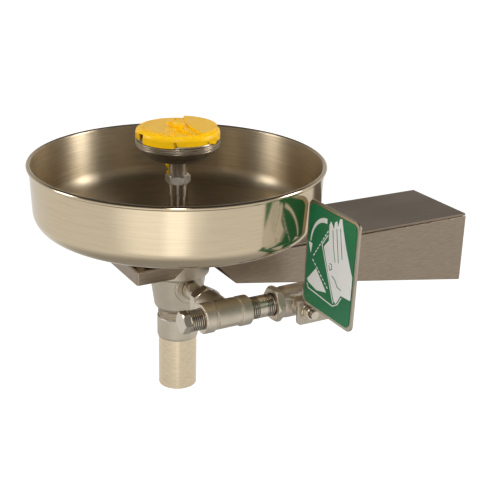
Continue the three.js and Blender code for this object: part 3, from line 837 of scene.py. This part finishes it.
# ---- bowl, drain and waste ----
class EYEWASH_OT_bowl(bpy.types.Operator):
    """Spins the bowl with its rolled rim, and the drain strainer in its floor"""

    bl_idname = "eyewash.bowl"
    bl_label = "Bowl and Drain"

    def execute(self, context):
        sheet = sizes().bowl_sheet
        slope = radians(15)
        bead, wall, corner, corner_z = 141 - BEAD_R, 136.9, 18.0, -41.5
        centre = wall - corner

        def arc(radius, steps=12):
            turns = [i / steps * (pi / 2 - slope) for i in range(steps + 1)]
            return [(centre + radius * cos(t), corner_z - radius * sin(t)) for t in turns]

        roll = [(bead + BEAD_R * cos(radians(a)), BEAD_R * sin(radians(a))) for a in range(184, -68, -18)]
        seat = -84.0
        outside = [(wall + 1.55, -BEAD_R - 0.2)] + arc(corner) + [(33, seat, 2)]
        inside = [
            (22.5, seat, 0.3), (22.5, seat + sheet, 0.3), (33, seat + sheet, 2)
        ] + arc(corner - sheet)[::-1]
        made = solid("spun_bowl", turned(roll + outside + inside, sizes().bowl_steps))
        finish(made, look("Bowl Outside"), node="bowl", sharp=38, even=False)
        made.data.materials.append(look("Bowl Inside"))
        for face in made.data.polygons:
            out = Vector((face.center.x - RIM.x, face.center.y - RIM.y, 0))
            inner = face.normal.dot(out.normalized()) < -0.02 and out.length < 0.1375
            if inner or (face.normal.z > 0.2 and out.length < 0.136):
                face.material_index = 1

        top = seat + sheet + 0.3
        flange = [
            (9.2, top), (18.6, top), (18.6, -103), (21.6, -103), (21.6, top), (30, top),
            (29.2, top + 2, 0.9), (9.2, top + 2),
        ]
        strainer = solid("strainer_flange", turned(flange))
        slots = []
        for i in range(8):
            slot = plate([(11.6, -1.6), (16.6, -1.6), (16.6, 1.6), (11.6, 1.6)], top - 1, top + 3, corner=1.4)
            slots.append(cutter(slot, Matrix.Rotation(i * pi / 4, 4, "Z")))
        combine(strainer, "DIFFERENCE", *slots)
        finish(strainer, look("Tube Polish"), node="drain_strainer")
        keep("bowl_gasket", "Black Rubber")
        return {"FINISHED"}


class EYEWASH_OT_waste(bpy.types.Operator):
    """Builds the cast waste body, its nut and the polished tailpiece"""

    bl_idname = "eyewash.waste"
    bl_label = "Waste and Tail"

    def execute(self, context):
        top = -88.3
        rough = [
            (31, top, 0.3), (31, -111, 1.2), (27.8, -112.6, 0.8), (25.3, -130, 2), (23.2, -145.3, 1.0),
            (19.9, -149.4, 0.6),
        ]
        thread = []
        for i in range(4):
            z = -150.2 - i * 1.8
            thread += [(18.7, z), (19.6, z - 0.55), (19.6, z - 0.95), (18.7, z - 1.5)]
        cavity = [(16.6, -157.4), (17.6, -146, 2), (21.8, -128, 2), (22, -104), (22, top)]
        body = solid("waste_casting", turned(rough + thread + [(18.4, -157.4)] + cavity, 96))
        pad = [(0, 14), (14.5, 14), (14.5, 27.5, 1.1), (0, 27.5)]
        core = drum(21.9, -140, -104)
        padding = combine(cutter(turned(pad, closed=False), AT_BRANCH), "DIFFERENCE", cutter(core))
        combine(body, "UNION", padding)
        combine(body, "UNION", cutter(drum(12, -134, -104)))
        combine(body, "UNION", cutter(drum(10, 0, 24), AT_BRANCH), cutter(block(-23, 0, -2, 2, -130, -108)))
        combine(
            body, "DIFFERENCE", cutter(drum(8.8, 14, 40), AT_BRANCH), cutter(drum(6, 0, 30), AT_BRANCH),
            cutter(drum(8.85, -112, -90)), cutter(drum(6, PIPE_Z, -100)),
        )
        finish(body, look("Casting"), node="waste_body", sharp=34)

        nut = [
            (19.8, -157.8), (20.0, -157.8), (20.4, -158.4, 0.2), (20.4, -178, 0.8), (19.9, -179.6, 0.2),
            (19.4, -179.6), (19.4, -162), (19.8, -162),
        ]
        finish(solid("slip_nut", turned(nut)), look("Casting"), node="tail_nut")
        keep("tail_washer", "White Plastic")
        tail = [(17.45, -233, 0.4), (19.05, -233, 0.4), (19.05, -161.8, 0.4), (17.45, -161.8, 0.4)]
        finish(
            solid("tail_tube", turned(tail, 96)), look("Tube Polish"), node="tailpiece",
        )
        return {"FINISHED"}


# ---- stem and spray head ----
class EYEWASH_OT_stem(bpy.types.Operator):
    """Builds the stem pipe with its collar and hexagon nut"""

    bl_idname = "eyewash.stem"
    bl_label = "Stem"

    def execute(self, context):
        chrome = look("Dark Chrome")
        finish(
            solid("riser", sleeve(PIPE_R, 6.2, -111.7, -24, 0.3)), chrome, node="stem_pipe",
        )
        collar = [(8.85, -32.1), (9.5, -32.1, 0.5), (9.5, -20.9, 0.2), (8.85, -20.9)]
        finish(solid("riser_collar", turned(collar)), chrome, node="stem_collar")
        nut = hex_piece("riser_nut", 21, -20.6, -12.3, bore=6.2, chamfer=1.7)
        combine(nut, "DIFFERENCE", cutter(drum(8.85, -25, -16.5)), cutter(drum(7.2, -16.8, -10)))
        # The nut's lighter chrome is a painted reflection.
        finish(nut, look("Nut Chrome Painted Reflection"), node="stem_nut", sharp=25, ease=sizes().hex_break)
        return {"FINISHED"}


class EYEWASH_OT_head(bpy.types.Operator):
    """Builds the spray head: its dished shell, chrome ring and jet plate"""

    bl_idname = "eyewash.head"
    bl_label = "Spray Head"

    def execute(self, context):
        dish = [
            (4.6, -18.4), (6.9, -18.4), (6.9, -14.6), (8.3, -14.6, 0.3), (8.3, -0.6, 2.0), (15, 0.4, 2),
            (26, 1.6, 2.5), (28.6, 3.2, 0.5), (29.2, 4.6, 0.4), (31.6, 6.2, 0.8), (33.9, 9, 0.8),
            (34.2, 17.6),
            (32.6, 17.6), (32, 9.8), (28.6, 6.4), (25.6, 4), (8, 2.2), (4.6, 0.5),
        ]
        body = solid("dished_body", turned(dish, 96), AT_HEAD)
        finish(body, look("Head Bronze"), node="head_shell")
        ring = [
            (34.6, 9.3), (36.8, 10.2, 0.4), (38.7, 12.2, 0.6), (39.6, 14.4, 0.3), (39.0, 14.8, 0.1),
            (39.0, 15.3, 0.1),
            (39.8, 15.7, 0.2), (39.8, 17.0, 0.2), (39.1, 17.4, 0.1), (39.1, 17.8, 0.1),
            (39.9, 18.2, 0.2), (39.9, 19.2, 0.3),
            (39.2, 19.7, 0.3), (37.6, 19.7, 0.3), (37.4, 21, 0.2), (36, 21, 0.2), (36, 18.2), (34.6, 18.2),
        ]
        finish(
            solid("trim_ring", turned(ring, 112), AT_HEAD), look("Head Trim"), node="head_ring",
        )
        jets = solid(
            "jet_plate",
            turned([(0, 18.5), (35.6, 18.5), (35.6, 20.0, 0.4), (0, 20.0)], 72, closed=False), AT_HEAD,
        )
        for side in (-18, 18):
            pad = turned([(0, 19.5), (11, 19.5), (11, 20.4, 0.3), (0, 20.4)], 40, closed=False)
            combine(jets, "UNION", cutter(pad, AT_HEAD @ Matrix.Translation((side, 0, 0))))
            for i in range(6):
                spot = Matrix.Translation((side + 6 * cos(i * pi / 3), 6 * sin(i * pi / 3), 0))
                hole = turned([(0, 15), (1.3, 15), (1.3, 20.0), (1.9, 20.8), (0, 20.8)], 16, closed=False)
                combine(jets, "DIFFERENCE", cutter(hole, AT_HEAD @ spot))
        finish(jets, look("White Plastic"), node="spray_plate")
        keep("spray_screen", "Machined Steel")
        keep("flow_control", "Black Plastic")
        return {"FINISHED"}


class EYEWASH_OT_cover(bpy.types.Operator):
    """Moulds the yellow dust cover and the strap that it is hinged to"""

    bl_idname = "eyewash.cover"
    bl_label = "Dust Cover"

    def execute(self, context):
        yellow = look("Yellow Plastic")
        r, top, low, level = 39.6, 33.8, 20.0, 30.6
        wall = r - 1.9
        cap = [
            (0, level - 1.6), (33.5, level - 1.6), (wall - 1.2, 27), (wall, 24), (wall, low),
            (r, low, 0.3), (r, 26.6, 0.8),
            (38.7, 29.2, 0.8), (36.4, level, 0.7), (0, level),
        ]
        lid = cutter(turned(cap, 128, closed=False), AT_HEAD)
        # The skirt is short but for a deeper lip at the user's side and a small tab.
        outer = turned([(wall - 3, low - 1), (r + 3, low - 1), (r + 3, 21.7), (wall - 3, 21.7)], 128)
        keepers = []
        for start, end in ((-100, -30), (30, 38)):
            mid, half = radians((start + end) / 2), radians((end - start) / 2)
            wedge = [(0, 0), (60 * cos(half), -60 * sin(half)), (80, 0), (60 * cos(half), 60 * sin(half))]
            keepers.append(cutter(plate(wedge, low - 2, 23), AT_HEAD @ Matrix.Rotation(mid, 4, "Z")))
        combine(lid, "DIFFERENCE", combine(cutter(outer, AT_HEAD), "DIFFERENCE", *keepers))
        # Latch window and its tongue, facing the user, and the lug that the strap bends behind.
        window = plate([(-7.0, 17), (7.0, 17), (7.0, 28.6), (-7.0, 28.6)], 30, 45, corner=1.2)
        combine(lid, "DIFFERENCE", cutter(window, AT_HEAD @ Matrix.Rotation(radians(90), 4, "X")))
        combine(lid, "UNION", cutter(block(-5.4, -2.0, -39.0, -37.0, 21.8, 29.2, ease=0.3), AT_HEAD))
        combine(lid, "UNION", cutter(block(-42.0, -37.9, -4, 4, 22, 24.4, ease=0.5), AT_HEAD))
        # High panel at the back right, low panel at the left, and a sunk fan between two ribs.
        high = plate(self.sector(10, 146, 36.9, 8.5), level - 2.6, level + 2.1, corner=1.6, ease=0.4)
        shallow = plate(self.sector(156, 312, 33.0, 8.5), level - 0.6, level + 0.8, corner=1.6, ease=0.3)
        combine(lid, "UNION", cutter(high, AT_HEAD), cutter(shallow, AT_HEAD))
        fan = plate(self.sector(-36, -2, 33.5, 12), level - 1.0, level + 3, corner=1.2)
        combine(lid, "DIFFERENCE", cutter(fan, AT_HEAD))
        for turn in (-39, 0):
            rib = block(9.5, 34.5, -0.9, 0.9, level - 1.3, level + 1.0, ease=0.4)
            combine(lid, "UNION", cutter(rib, AT_HEAD @ Matrix.Rotation(radians(turn), 4, "Z")))
        boss = [
            (0, level - 1), (5.9, level - 1), (5.6, top, 0.6), (3.6, top, 0.3), (3.1, top - 0.5, 0.3),
            (0, top - 0.5),
        ]
        combine(lid, "UNION", cutter(turned(boss, 48, closed=False), AT_HEAD))
        bar = plate(
            [(-4.5, -1.7), (4.5, -1.7), (4.5, 1.7), (-4.5, 1.7)], level - 1, level + 2.4, corner=1.6,
            ease=0.4,
        )
        beside = Matrix.Translation((-11.4, -1.8, 0)) @ Matrix.Rotation(radians(60), 4, "Z")
        combine(lid, "UNION", cutter(bar, AT_HEAD @ beside))
        merge_flats(lid)
        lid.name = lid.data.name = "cover_moulding"
        finish(lid, yellow, body="cover", node="dust_cover", sharp=24)
        # The flats of the raised panels are textured; everything else is smooth and glossy.
        lid.data.materials.append(look("Yellow Textured"))
        for face in lid.data.polygons:
            spot = (face.center - RIM) * 1000 - HEAD_LIFT
            if face.normal.z > 0.99 and spot.z > level + 0.3 and spot.xy.length > 6.6 and face.area > 2e-5:
                face.material_index = 1

        route = [
            (-9.4, -13.2), (-17, -13), (-24, -8.2), (-32, -1.7), (-38.5, 6.8), (-42.6, 13.3),
            (-42.3, 20.4),
        ]
        bm = bmesh.new()
        points = [bm.verts.new((x, -3.5, z)) for x, z in route]
        lines = [bm.edges.new(pair) for pair in zip(points, points[1:])]
        bmesh.ops.bevel(
            bm, geom=points[1:-1], offset=2.2, segments=4, profile=0.5, affect="VERTICES", material=-1
        )
        grown = bmesh.ops.extrude_edge_only(bm, edges=bm.edges[:])["geom"]
        bmesh.ops.translate(bm, verts=[v for v in grown if isinstance(v, bmesh.types.BMVert)], vec=(0, 7, 0))
        bmesh.ops.recalc_face_normals(bm, faces=bm.faces)
        bmesh.ops.solidify(bm, geom=bm.faces[:], thickness=1.3)
        bmesh.ops.recalc_face_normals(bm, faces=bm.faces)
        strap = solid("strap_band", bm, AT_HEAD)
        clip = combine(
            cutter(sleeve(10.8, 8.6, -14.3, -12.1, 0.3), AT_HEAD), "DIFFERENCE",
            cutter(block(-2, 12, -12, 12, -16, -11), AT_HEAD)
        )
        combine(strap, "UNION", clip)
        finish(strap, yellow, node="cover_strap")
        return {"FINISHED"}

    def sector(self, start, end, reach, hub):
        """A fan-shaped outline from one bearing to another, cut off near the middle."""
        count = max(3, round((end - start) / 8))
        turns = [radians(start + (end - start) * i / count) for i in range(count + 1)]
        mid = radians((start + end) / 2)
        return [(reach * cos(t), reach * sin(t)) for t in turns] + [(hub * cos(mid), hub * sin(mid))]


# ---- bracket arm ----
class EYEWASH_OT_arm(bpy.types.Operator):
    """Folds the arm's plate and cover, makes the wall plate, and gives the gussets their finish"""

    bl_idname = "eyewash.arm"
    bl_label = "Bracket Arm"

    def execute(self, context):
        half, front, wall, top, low = 45.5, -62.8, WALL_Y - 0.3, -85.5, -99.0
        points = [
            (-half, front, top), (half, front, top), (half, -9.5, top), (half, wall, top), (-half, wall, top),
            (-half, -9.5, top), (-half, front, low), (half, front, low), (half, -25.7, low),
            (-half, -25.7, low),
        ]
        faces = [(0, 1, 2, 3, 4, 5), (1, 0, 6, 7), (2, 1, 7, 8), (0, 5, 9, 6)]
        arm = solid("arm_sheet", folded(points, faces, sizes().arm_sheet, sizes().fold_radius))
        holes = [cutter(drum(22.5, -89, -84))] + [
            cutter(drum(2.4, -89, -84, 24), Matrix.Translation((x, -52.5, 0))) for x in (-33, 33)
        ]
        combine(arm, "DIFFERENCE", *holes)
        finish(arm, look("Arm Satin"), node="arm_plate", ease=0.25)

        half, top, wall = 46.5, -88.3, WALL_Y - 0.2
        points = [
            (half, 15, top), (half, 40.7, -115.5), (half, wall, -163), (half, wall, top),
            (-half, 15, top), (-half, 40.7, -115.5), (-half, wall, -163), (-half, wall, top),
        ]
        faces = [(0, 1, 2, 3), (7, 6, 5, 4), (1, 5, 6, 2)]
        cover = solid("arm_shroud", folded(points, faces, sizes().cover_sheet, 1.4))
        cuts = [cutter(drum(2.4, -175, -140, 24), Matrix.Translation((x, 285, 0))) for x in (-20, 20)]
        combine(cover, "DIFFERENCE", *cuts)
        finish(cover, look("Cover Satin"), node="arm_cover", ease=0.2)

        for side in ("left", "right"):
            keep(f"arm_gusset_{side}", "Arm Satin")
        outline = [(-44, -35), (44, -35), (44, 35), (-44, 35)]
        upright = Matrix.Translation((0, WALL_Y, -125)) @ Matrix.Rotation(radians(90), 4, "X")
        back = solid("back_plate", plate(outline, 0, 3, corner=4, ease=0.3), upright)
        for x in (-30, 30):
            for y in (-22, 22):
                hole = turned([(0, -1), (4.2, -1), (4.2, 2.6), (4.8, 3.4), (0, 3.4)], 32, closed=False)
                combine(back, "DIFFERENCE", cutter(hole, upright @ Matrix.Translation((x, y, 0))))
        finish(back, look("Arm Satin"), node="wall_plate")
        return {"FINISHED"}


class EYEWASH_OT_screws(bpy.types.Operator):
    """Makes the bowl's rest screws with their nuts, and the cover's screws"""

    bl_idname = "eyewash.screws"
    bl_label = "Screws"

    def execute(self, context):
        for side, x in (("left", -33), ("right", 33)):
            spot = Matrix.Translation((x, -52.5, -85.5))
            head = hex_piece(f"rest_screw_{side}", 8, 0.3, 4.6, chamfer=0.8, place=spot, bottom=False)
            combine(head, "UNION", cutter(threaded(2.1, 0.001, -9, 1, -9, -2.7, 24), spot))
            finish(head, look("Machined Steel"), node=f"bowl_rest_screw_{side}")
            nut = hex_piece(f"rest_nut_{side}", 8, -6, -2.8, bore=2.4, chamfer=0.7, place=spot)
            finish(nut, look("Machined Steel"), node=f"bowl_rest_nut_{side}")
        slope = (-163 + 115.5) / (WALL_Y - 40.7)
        for side, x in (("left", -20), ("right", 20)):
            spot = Matrix.Translation((x, 285, -115.5 + slope * (285 - 40.7)))
            head = [(0, -3.4), (2.6, -3.4, 0.6), (4, -2.0, 0.5), (4, -0.8), (2, -0.8), (2, 6, 0.3), (0, 6)]
            screw = solid(f"pan_screw_{side}", turned(head, 32, closed=False), spot)
            for turn in (0, 90):
                slot = block(-1.9, 1.9, -0.45, 0.45, -4, -2.3)
                combine(screw, "DIFFERENCE", cutter(slot, spot @ Matrix.Rotation(radians(turn), 4, "Z")))
            finish(screw, look("Machined Steel"), node=f"cover_screw_{side}")
        return {"FINISHED"}


# ---- supply line ----
class EYEWASH_OT_supply(bpy.types.Operator):
    """Builds the port nipple, bushing, strainer with its plug, and valve nipple"""

    bl_idname = "eyewash.supply"
    bl_label = "Supply Line"

    def execute(self, context):
        nipple = solid("port_pipe", threaded(PIPE_R, 6, 15, 58.4, 51, 58.4), AT_BRANCH)
        finish(nipple, look("Branch Polish"), node="port_nipple")
        paint_root_shade(nipple, AT_BRANCH, PIPE_R, 51, 58.4)
        bushing = hex_piece("port_hex", 27, 54, 64.7, bore=6, chamfer=1.8, place=AT_BRANCH)
        combine(bushing, "UNION", cutter(sleeve(10.4, 6, 64.4, 76, 0.3), AT_BRANCH))
        combine(bushing, "DIFFERENCE", cutter(drum(8.85, 50, 58.7), AT_BRANCH))
        finish(
            bushing, look("Branch Polish"), node="port_bushing", sharp=25,
            ease=sizes().hex_break,
        )

        barrel = [
            (10.2, -21.4), (13.4, -21.4, 0.4), (14.2, -20.4, 0.4), (14.2, -11.5, 0.5), (12.8, -10.7, 0.4),
            (12.8, 15.7, 0.4), (14.2, 16.5, 0.5), (14.2, 26, 0.6), (13.4, 26.8, 0.3),
            (10.95, 26.8), (10.95, 13.5), (7.5, 13.5), (7.5, -10.6), (10.2, -10.6),
        ]
        tee = solid("strainer_casting", turned(barrel, 72), AT_LINE)
        to_branch = Matrix.Rotation(radians(-90), 4, "Y")
        arm = turned([(0, 6), (14, 6), (14, 27, 0.8), (0, 27)], closed=False)
        arm = combine(cutter(arm, AT_LINE @ to_branch), "DIFFERENCE", cutter(drum(12.3, -20, 20), AT_LINE))
        combine(tee, "UNION", arm)
        combine(tee, "UNION", cutter(self.curved_pad(), AT_LINE))
        combine(
            tee, "DIFFERENCE", cutter(drum(7.5, -10.5, 13.4), AT_LINE),
            cutter(drum(10.7, 15, 30), AT_LINE @ to_branch),
            cutter(drum(6.5, 0, 20), AT_LINE @ to_branch),
        )
        finish(tee, look("Valve Casting"), node="strainer_body", sharp=34)
        keep("strainer_screen", "Machined Steel")

        plug = hex_piece("plug_hex", 18.5, -41.5, -34, chamfer=1.0, place=AT_LINE, top=False)
        combine(plug, "UNION", cutter(threaded(PLUG_R, 7.2, -34.3, -11, -33.8, -21.6), AT_LINE))
        combine(plug, "UNION", cutter(drum(8.4, -34.3, -31), AT_LINE))
        finish(
            plug, look("Line Polish"), node="strainer_plug", sharp=25,
            ease=sizes().hex_break,
        )
        paint_root_shade(plug, AT_LINE, PLUG_R, -33.8, -21.6)

        pitch = sizes().thread_pitch
        near = crests(NIPPLE_R, 27, pitch, round((35.4 - 27) / pitch))
        far = crests(NIPPLE_R, 44.2, pitch, round((52.6 - 44.2) / pitch))
        plain = [(NIPPLE_R, 35.4 + 0.2), (NIPPLE_R, 44)]
        outside = [(NIPPLE_R, 14)] + near + plain + far + [(NIPPLE_R, 62)]
        pipe = turned([(7.9, 14)] + outside + [(7.9, 62)], 72)
        pipe = solid("valve_pipe", pipe, AT_LINE)
        finish(pipe, look("Line Polish"), node="valve_nipple", sharp=28)
        paint_root_shade(pipe, AT_LINE, NIPPLE_R, 27, 52.6)
        return {"FINISHED"}

    def curved_pad(self):
        """A raised panel with rounded corners that follows the barrel's side."""
        bm = bmesh.new()
        ends = [(12.2, -8.4), (14.0, -8.4), (14.0, 13.6), (12.2, 13.6)]
        rim = [bm.verts.new((r * cos(radians(-112)), r * sin(radians(-112)), z)) for r, z in ends]
        section = bm.faces.new(rim)
        bmesh.ops.spin(bm, geom=[section], axis=(0, 0, 1), cent=(0, 0, 0), angle=radians(128), steps=9)
        bmesh.ops.recalc_face_normals(bm, faces=bm.faces)
        radial = [
            e for e in bm.edges
            if abs(e.verts[0].co.z - e.verts[1].co.z) < 1e-5
            and abs(e.verts[0].co.xy.length - e.verts[1].co.xy.length) > 1
            and len({f.normal.to_tuple(1) for f in e.link_faces}) > 1
            and e.calc_face_angle(0) > radians(60)
        ]
        bmesh.ops.bevel(bm, geom=radial, offset=2.2, segments=4, profile=0.5, affect="EDGES", material=-1)
        return bm


class EYEWASH_OT_valve(bpy.types.Operator):
    """Builds the ball valve's body and end, its stem, gland nut, washer and flag nut"""

    bl_idname = "eyewash.valve"
    bl_label = "Ball Valve"

    def execute(self, context):
        end = hex_piece("valve_cap", 30, 52.6, 60, bore=10.95, chamfer=1.8, place=AT_LINE)
        combine(
            end, "UNION", cutter(sleeve(11.6, 10.95, 59.8, 62.8), AT_LINE),
            cutter(sleeve(11.6, 6.5, 62.6, 66.9), AT_LINE),
        )
        finish(
            end, look("Valve Casting"), node="valve_end", sharp=25,
            ease=sizes().hex_break,
        )

        barrel = [
            (12, 60.3), (14.2, 60.3, 0.3), (15.2, 66, 1), (15.2, 87, 1.5), (14, 98), (14, 101),
            (10.95, 101), (10.95, 95),
            (6.5, 93), (6.5, 85.8), (12, 85.8),
        ]
        body = solid("valve_casting", turned(barrel, 72), AT_LINE)
        far = hex_piece("tool", 30, 98, 109, bore=10.95, chamfer=1.8, place=AT_LINE)
        combine(body, "UNION", far)
        boss = turned([(0, 11), (9.2, 11, 0.1), (8.4, 16, 0.5), (8.4, 19, 0.5), (0, 19)], closed=False)
        boss = combine(cutter(boss, AT_STEM), "DIFFERENCE", cutter(drum(12, 61, 85), AT_LINE))
        combine(body, "UNION", boss)
        combine(body, "DIFFERENCE", cutter(drum(4.3, 5, 30), AT_STEM), cutter(drum(6.9, 14, 30), AT_STEM))
        finish(body, look("Valve Casting"), node="valve_body", sharp=30)
        for node in ("valve_seat_front", "valve_seat_back", "stem_packing"):
            keep(node, "White Plastic")
        keep("valve_ball", "Tube Polish")

        shaft = solid("turning_stem", threaded(STEM_R, 0.001, 9.5, 40, 28.3, 39.6, 32), AT_STEM)
        combine(shaft, "UNION", cutter(block(-3.2, 3.2, -2, 2, 7.4, 9.7), AT_STEM))
        finish(shaft, look("Stem Polish"), body="flag", node="valve_stem")
        paint_root_shade(shaft, AT_STEM, STEM_R, 28.3, 39.6)
        gland = hex_piece("gland_hex", 15, 19.3, 23.6, bore=4.3, chamfer=0.9, place=AT_STEM)
        combine(gland, "UNION", cutter(sleeve(6.6, 4.3, 16.5, 19.5), AT_STEM))
        finish(
            gland, look("Stem Polish"), node="gland_nut", sharp=25,
            ease=sizes().hex_break,
        )
        washer = turned([(4.3, 28.3, 0.15), (8.2, 28.3, 0.2), (8.2, 29.5, 0.4), (4.3, 29.5, 0.2)], 48)
        finish(
            solid("stem_washer", washer, AT_STEM), look("Stem Polish"), body="flag", node="flag_washer",
        )
        nut = hex_piece("stem_hex", 13, 29.8, 35.8, bore=4.3, chamfer=1.1, place=AT_STEM)
        finish(
            nut, look("Stem Polish"), body="flag", node="flag_nut", sharp=25,
            ease=sizes().hex_break,
        )
        return {"FINISHED"}


# ---- push flag ----
FLAG_PLACE = Matrix.Translation((117, 70.8, -111.4)) @ Matrix.Rotation(radians(90 - 1.6), 4, "X")


class EYEWASH_OT_flag(bpy.types.Operator):
    """Makes the push flag from a sheet and a side tab, and gives it its green label with a plain symbol"""

    bl_idname = "eyewash.flag"
    bl_label = "Push Flag"

    def execute(self, context):
        width, height = 78, 100.5
        outline = [(0, 0), (width, 0), (width, height), (0, height)]
        sheet = solid("flag_sheet", plate(outline, -2.5, 0, corner=7, ease=0.5), FLAG_PLACE)
        tab = plate(
            [(64.8, -134.3), (104, -134.3), (104, -71), (72.8, -71), (71.8, -110), (64.8, -110)], 117, 120,
            corner=5, ease=0.4, corners=(0, 1, 2),
        )
        sideways = Matrix(((0, 0, 1, 0), (1, 0, 0, 0), (0, 1, 0, 0), (0, 0, 0, 1)))
        tab = cutter(tab, sideways)
        combine(tab, "DIFFERENCE", cutter(drum(4.3, 20, 40), AT_STEM))
        combine(sheet, "UNION", tab)
        finish(sheet, look("Flag Satin"), body="flag", node="push_flag")
        inset = [(3, 3), (width - 3, 3), (width - 3, height - 3), (3, height - 3)]
        label = solid("label_plate", plate(inset, 0, 0.6, corner=6, ease=0.15), FLAG_PLACE)
        finish(label, look("Green Label"), body="flag", node="flag_label")
        self.symbol()
        return {"FINISHED"}

    def symbol(self):
        """A palm pushing a flag, with an arrow for the way it swings."""
        hand = [
            (29, 64), (36, 72), (35, 86), (37, 90), (40, 87), (42, 84), (43, 91), (46, 93), (48, 88),
            (50, 96), (53, 97.0),
            (56, 88), (62, 74), (71, 57), (74.6, 51), (74.6, 30), (60, 29), (54, 19), (51, 20), (40, 40),
        ]
        wedge = [(19.5, 40), (6.5, 25.5), (9, 23), (23, 20), (38, 23.5)]
        parts = [plate(hand, 0.45, 0.8), plate(wedge, 0.45, 0.8)]
        for stroke in (
            [(7, 21), (9.5, 17.5), (49, 15), (56, 19), (61, 27)], [(26, 65), (34, 76)],
            [(26, 65), (49.5, 18)],
        ):
            parts += [self.dash(a, b, 0.9, over=0.3) for a, b in zip(stroke, stroke[1:])]
        for start, end, count in (((34, 80), (13, 49), 8), ((13, 46.5), (41, 27), 8)):
            first, last = Vector(start), Vector(end)
            parts += [
                self.dash(first.lerp(last, i / count), first.lerp(last, (i + 0.6) / count), 1.0)
                for i in range(count)
            ]
        arc = [(31 - 23 * sin(radians(a)), 62 + 26 * cos(radians(a))) for a in range(0, 96, 8)]
        parts += [self.dash(a, b, 4.6 - 0.33 * i, over=0.25) for i, (a, b) in enumerate(zip(arc, arc[1:]))]
        parts.append(plate([(5, 61), (10.8, 61), (9.2, 51.5)], 0.45, 0.8))
        self.print_on("label_symbol", parts, "White Print", "white_plastic")
        creases = [
            [(41, 83), (44, 68), (48, 56)], [(46.5, 86), (50, 70), (53, 57)], [(52, 88), (55, 74), (58, 62)],
            [(45, 42), (50, 40), (54, 35), (60, 34)], [(39, 50), (41, 46), (44, 48), (43, 52), (40, 52)],
        ]
        lines = [
            self.dash(a, b, 0.8, over=0.2, low=0.75, high=0.9) for c in creases
            for a, b in zip(c, c[1:])
        ]
        self.print_on("label_creases", lines, "Green Label", "green_label")

    def print_on(self, name, parts, material, slot):
        """Puts flat shapes on the label as one printed layer."""
        whole = parts[0]
        for part in parts[1:]:
            mesh = meshed("part", part)
            whole.from_mesh(mesh)
            bpy.data.meshes.remove(mesh)
        finish(solid(name, whole, FLAG_PLACE), look(material), body="flag", node=name)

    def dash(self, a, b, width, over=0.0, low=0.45, high=0.8):
        a, b = Vector(a), Vector(b)
        along = (b - a).normalized() * over
        across = Vector((-(b - a).y, (b - a).x)).normalized() * width / 2
        corners = [a - along - across, b + along - across, b + along + across, a - along + across]
        return plate([tuple(c) for c in corners], low, high)


class EYEWASH_PT_sidebar(bpy.types.Panel):
    """Lists the steps that build the station"""

    bl_label = "Eyewash Station"
    bl_idname = "EYEWASH_PT_sidebar"
    bl_space_type = "VIEW_3D"
    bl_region_type = "UI"
    bl_category = "Eyewash"

    def draw(self, context):
        column = self.layout.column(align=True)
        for step in STEPS:
            column.operator(step.bl_idname, text=step.bl_label)
        for settings in (sizes(), colours(), studio()):
            box = self.layout.box()
            for name in settings.__annotations__:
                box.prop(settings, name)


STEPS = (
    EYEWASH_OT_stage,
    EYEWASH_OT_bowl,
    EYEWASH_OT_waste,
    EYEWASH_OT_stem,
    EYEWASH_OT_head,
    EYEWASH_OT_cover,
    EYEWASH_OT_arm,
    EYEWASH_OT_screws,
    EYEWASH_OT_supply,
    EYEWASH_OT_valve,
    EYEWASH_OT_flag,
)
CLASSES = (EyewashSizes, EyewashColours, EyewashStudio) + STEPS + (EYEWASH_PT_sidebar,)


def register():
    for item in CLASSES:
        bpy.utils.register_class(item)
    bpy.types.Scene.eyewash_sizes = PointerProperty(type=EyewashSizes)
    bpy.types.Scene.eyewash_colours = PointerProperty(type=EyewashColours)
    bpy.types.Scene.eyewash_studio = PointerProperty(type=EyewashStudio)


def unregister():
    del bpy.types.Scene.eyewash_studio
    del bpy.types.Scene.eyewash_colours
    del bpy.types.Scene.eyewash_sizes
    for item in reversed(CLASSES):
        bpy.utils.unregister_class(item)


def main():
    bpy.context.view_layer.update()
    register()
    for step in STEPS:
        family, name = step.bl_idname.split(".")
        getattr(getattr(bpy.ops, family), name)()


if __name__ == "__main__":
    main()
